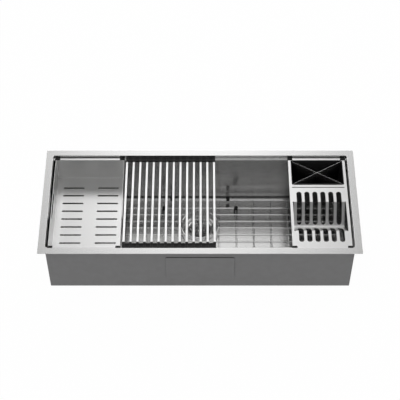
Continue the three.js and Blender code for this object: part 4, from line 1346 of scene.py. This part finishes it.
def make_divider(angle, y, floor, top):
    """Two thin sheets that cross from corner to corner of the box."""
    across = 0.42
    cosine, sine = math.cos(angle), math.sin(angle)

    def cross(reach, up):
        outline = []
        for turn in range(4):
            points_up = turn % 2 == 0
            theta = angle if points_up else math.pi - angle
            theta += math.pi * (turn // 2)
            direction = np.array((math.cos(theta), math.sin(theta)))
            aside = np.array((-direction[1], direction[0])) * across
            outline += [direction * reach - aside, direction * reach + aside]
            inner = across / cosine if points_up else across / sine
            sign = 1 if turn < 2 else -1
            outline.append(np.array((0.0, sign * inner)) if points_up else np.array((-sign * inner, 0.0)))
        return level_ring(np.array(outline), up, RACK_MIDDLE, y)

    walls = [cross(101.0, floor + 0.3), cross(105.0, floor + 4.0), cross(105.0, top - 3.0)]
    divider = piece("utensil_cross", shell(walls), FINISHES["accessory_steel"])
    ease_edges(divider, 0.25)
    belongs(divider, "utensil_unit", "accessory_steel", "utensil_divider")


# ---------- Studio ----------

def light_path(nodes):
    """One where a ray comes from the camera, off a gloss or through something clear, and nought elsewhere."""
    path = nodes.add("ShaderNodeLightPath").socket.node
    return [Value(nodes, path.outputs[f"Is {kind} Ray"]) for kind in ("Camera", "Glossy", "Transmission")]


def make_floor():
    mesh = bpy.data.meshes.new("studio_floor")
    reach, height = 14.0, -0.42
    corners = [(-reach, -reach), (reach, -reach), (reach, reach), (-reach, reach)]
    mesh.from_pydata([(x, y, height) for x, y in corners], [], [(0, 1, 2, 3)])
    paper = bpy.data.materials.new("studio_paper")
    paper.use_nodes = True
    nodes = Nodes(paper.node_tree)
    paper.node_tree.nodes.clear()
    matt = nodes.add("ShaderNodeBsdfDiffuse", {}, {"Color": (0.86, 0.86, 0.86, 1.0)})
    bright = nodes.add("ShaderNodeEmission", {}, {"Color": (1.0, 1.0, 1.0, 1.0), "Strength": 1.0})
    camera, glossy, through = light_path(nodes)
    seen = (camera + glossy + through) * 0.98
    surface = nodes.add("ShaderNodeMixShader", {}, {0: seen, 1: matt, 2: bright})
    leave = paper.node_tree.nodes.new("ShaderNodeOutputMaterial")
    paper.node_tree.links.new(surface.socket, leave.inputs["Surface"])
    mesh.materials.append(paper)
    floor = bpy.data.objects.new("studio_floor", mesh)
    scene.collection.objects.link(floor)


BANK_TOP = 2.0
REAR_TO_FRONT = (
    (0.0, 2.0), (50.0, 2.0), (54.0, 1.3), (58.0, 1.38), (62.0, 0.85), (70.0, 0.65), (100.0, 0.70),
    (112.0, 1.15), (120.0, 1.15), (124.0, 0.05), (137.0, 0.05), (141.0, 0.6), (150.0, 0.5), (180.0, 0.30),
)


def make_world():
    """White to the camera. The steel mirrors light banks at the rear and overhead, and a dark front."""
    world = bpy.data.worlds.new("studio")
    world.use_nodes = True
    scene.world = world
    nodes = Nodes(world.node_tree)
    world.node_tree.nodes.clear()
    across, along, up = nodes.split(nodes.add("ShaderNodeTexCoord", output="Generated"))
    round_over = nodes.compute("ARCTAN2", up, along) / math.pi
    stops = [(angle / 180.0, level / BANK_TOP) for angle, level in REAR_TO_FRONT]
    bank = nodes.add("ShaderNodeValToRGB", {"stops": stops}, {0: round_over}) * BANK_TOP
    aside = abs(across + 0.004)
    bank = bank * nodes.ease(aside, 0.02, 0.19, 1.0, 0.12)
    wings = nodes.ease(round_over, 0.45, 0.62, 1.9, 0.35)
    beside = nodes.ease(aside, 0.4, 0.5)
    mirrored = bank * (1.0 - beside) + wings * beside
    camera, glossy, through = light_path(nodes)
    plain = 0.5
    lit = glossy * mirrored + (1.0 - glossy) * plain
    level = camera + (1.0 - camera) * (through + (1.0 - through) * lit)
    sky = nodes.add("ShaderNodeBackground", {}, {"Color": (1.0, 1.0, 1.0, 1.0), "Strength": level})
    leave = world.node_tree.nodes.new("ShaderNodeOutputWorld")
    world.node_tree.links.new(sky.socket, leave.inputs["Surface"])


def make_lamp(name, spot, aim, size, power):
    lamp = bpy.data.lights.new(name, "AREA")
    lamp.shape = "RECTANGLE"
    lamp.size, lamp.size_y = size
    lamp.energy = power
    made = bpy.data.objects.new(name, lamp)
    made.location = spot
    made.rotation_euler = (Vector(aim) - Vector(spot)).to_track_quat("-Z", "Y").to_euler()
    made.visible_glossy = False
    made.visible_camera = False
    scene.collection.objects.link(made)


def make_camera():
    lens = bpy.data.cameras.new("camera")
    lens.lens = 108.7
    lens.sensor_width = 36.0
    lens.clip_end = 60.0
    camera = bpy.data.objects.new("camera", lens)
    camera.location = (0.0, -2.662, 3.468)
    camera.rotation_euler = (math.radians(37.53), 0.0, 0.0)
    scene.collection.objects.link(camera)
    scene.camera = camera


scene.view_settings.view_transform = "Standard"
make_camera()
make_world()
make_floor()
make_lamp("key_light", (-0.8, -2.2, 3.6), (0.0, 0.0, -0.1), (2.6, 1.8), 62.0)
make_lamp("rear_light", (0.6, 2.6, 3.4), (0.0, 0.0, -0.1), (3.0, 1.6), 40.0)
make_lamp("front_fill", (0.0, -4.2, 0.9), (0.0, -0.2, -0.1), (3.0, 1.4), 30.0)
make_lamp("rear_fill", (0.0, 4.2, 0.9), (0.0, 0.2, -0.1), (3.0, 1.4), 22.0)

make_bowl()
make_insulation()
make_sound_pads()
make_strainer()
make_drain_fittings()
make_grid()
make_feet()
make_bumpers()
make_colander()
make_rollup()
make_plate_rack()
make_utensil_box()
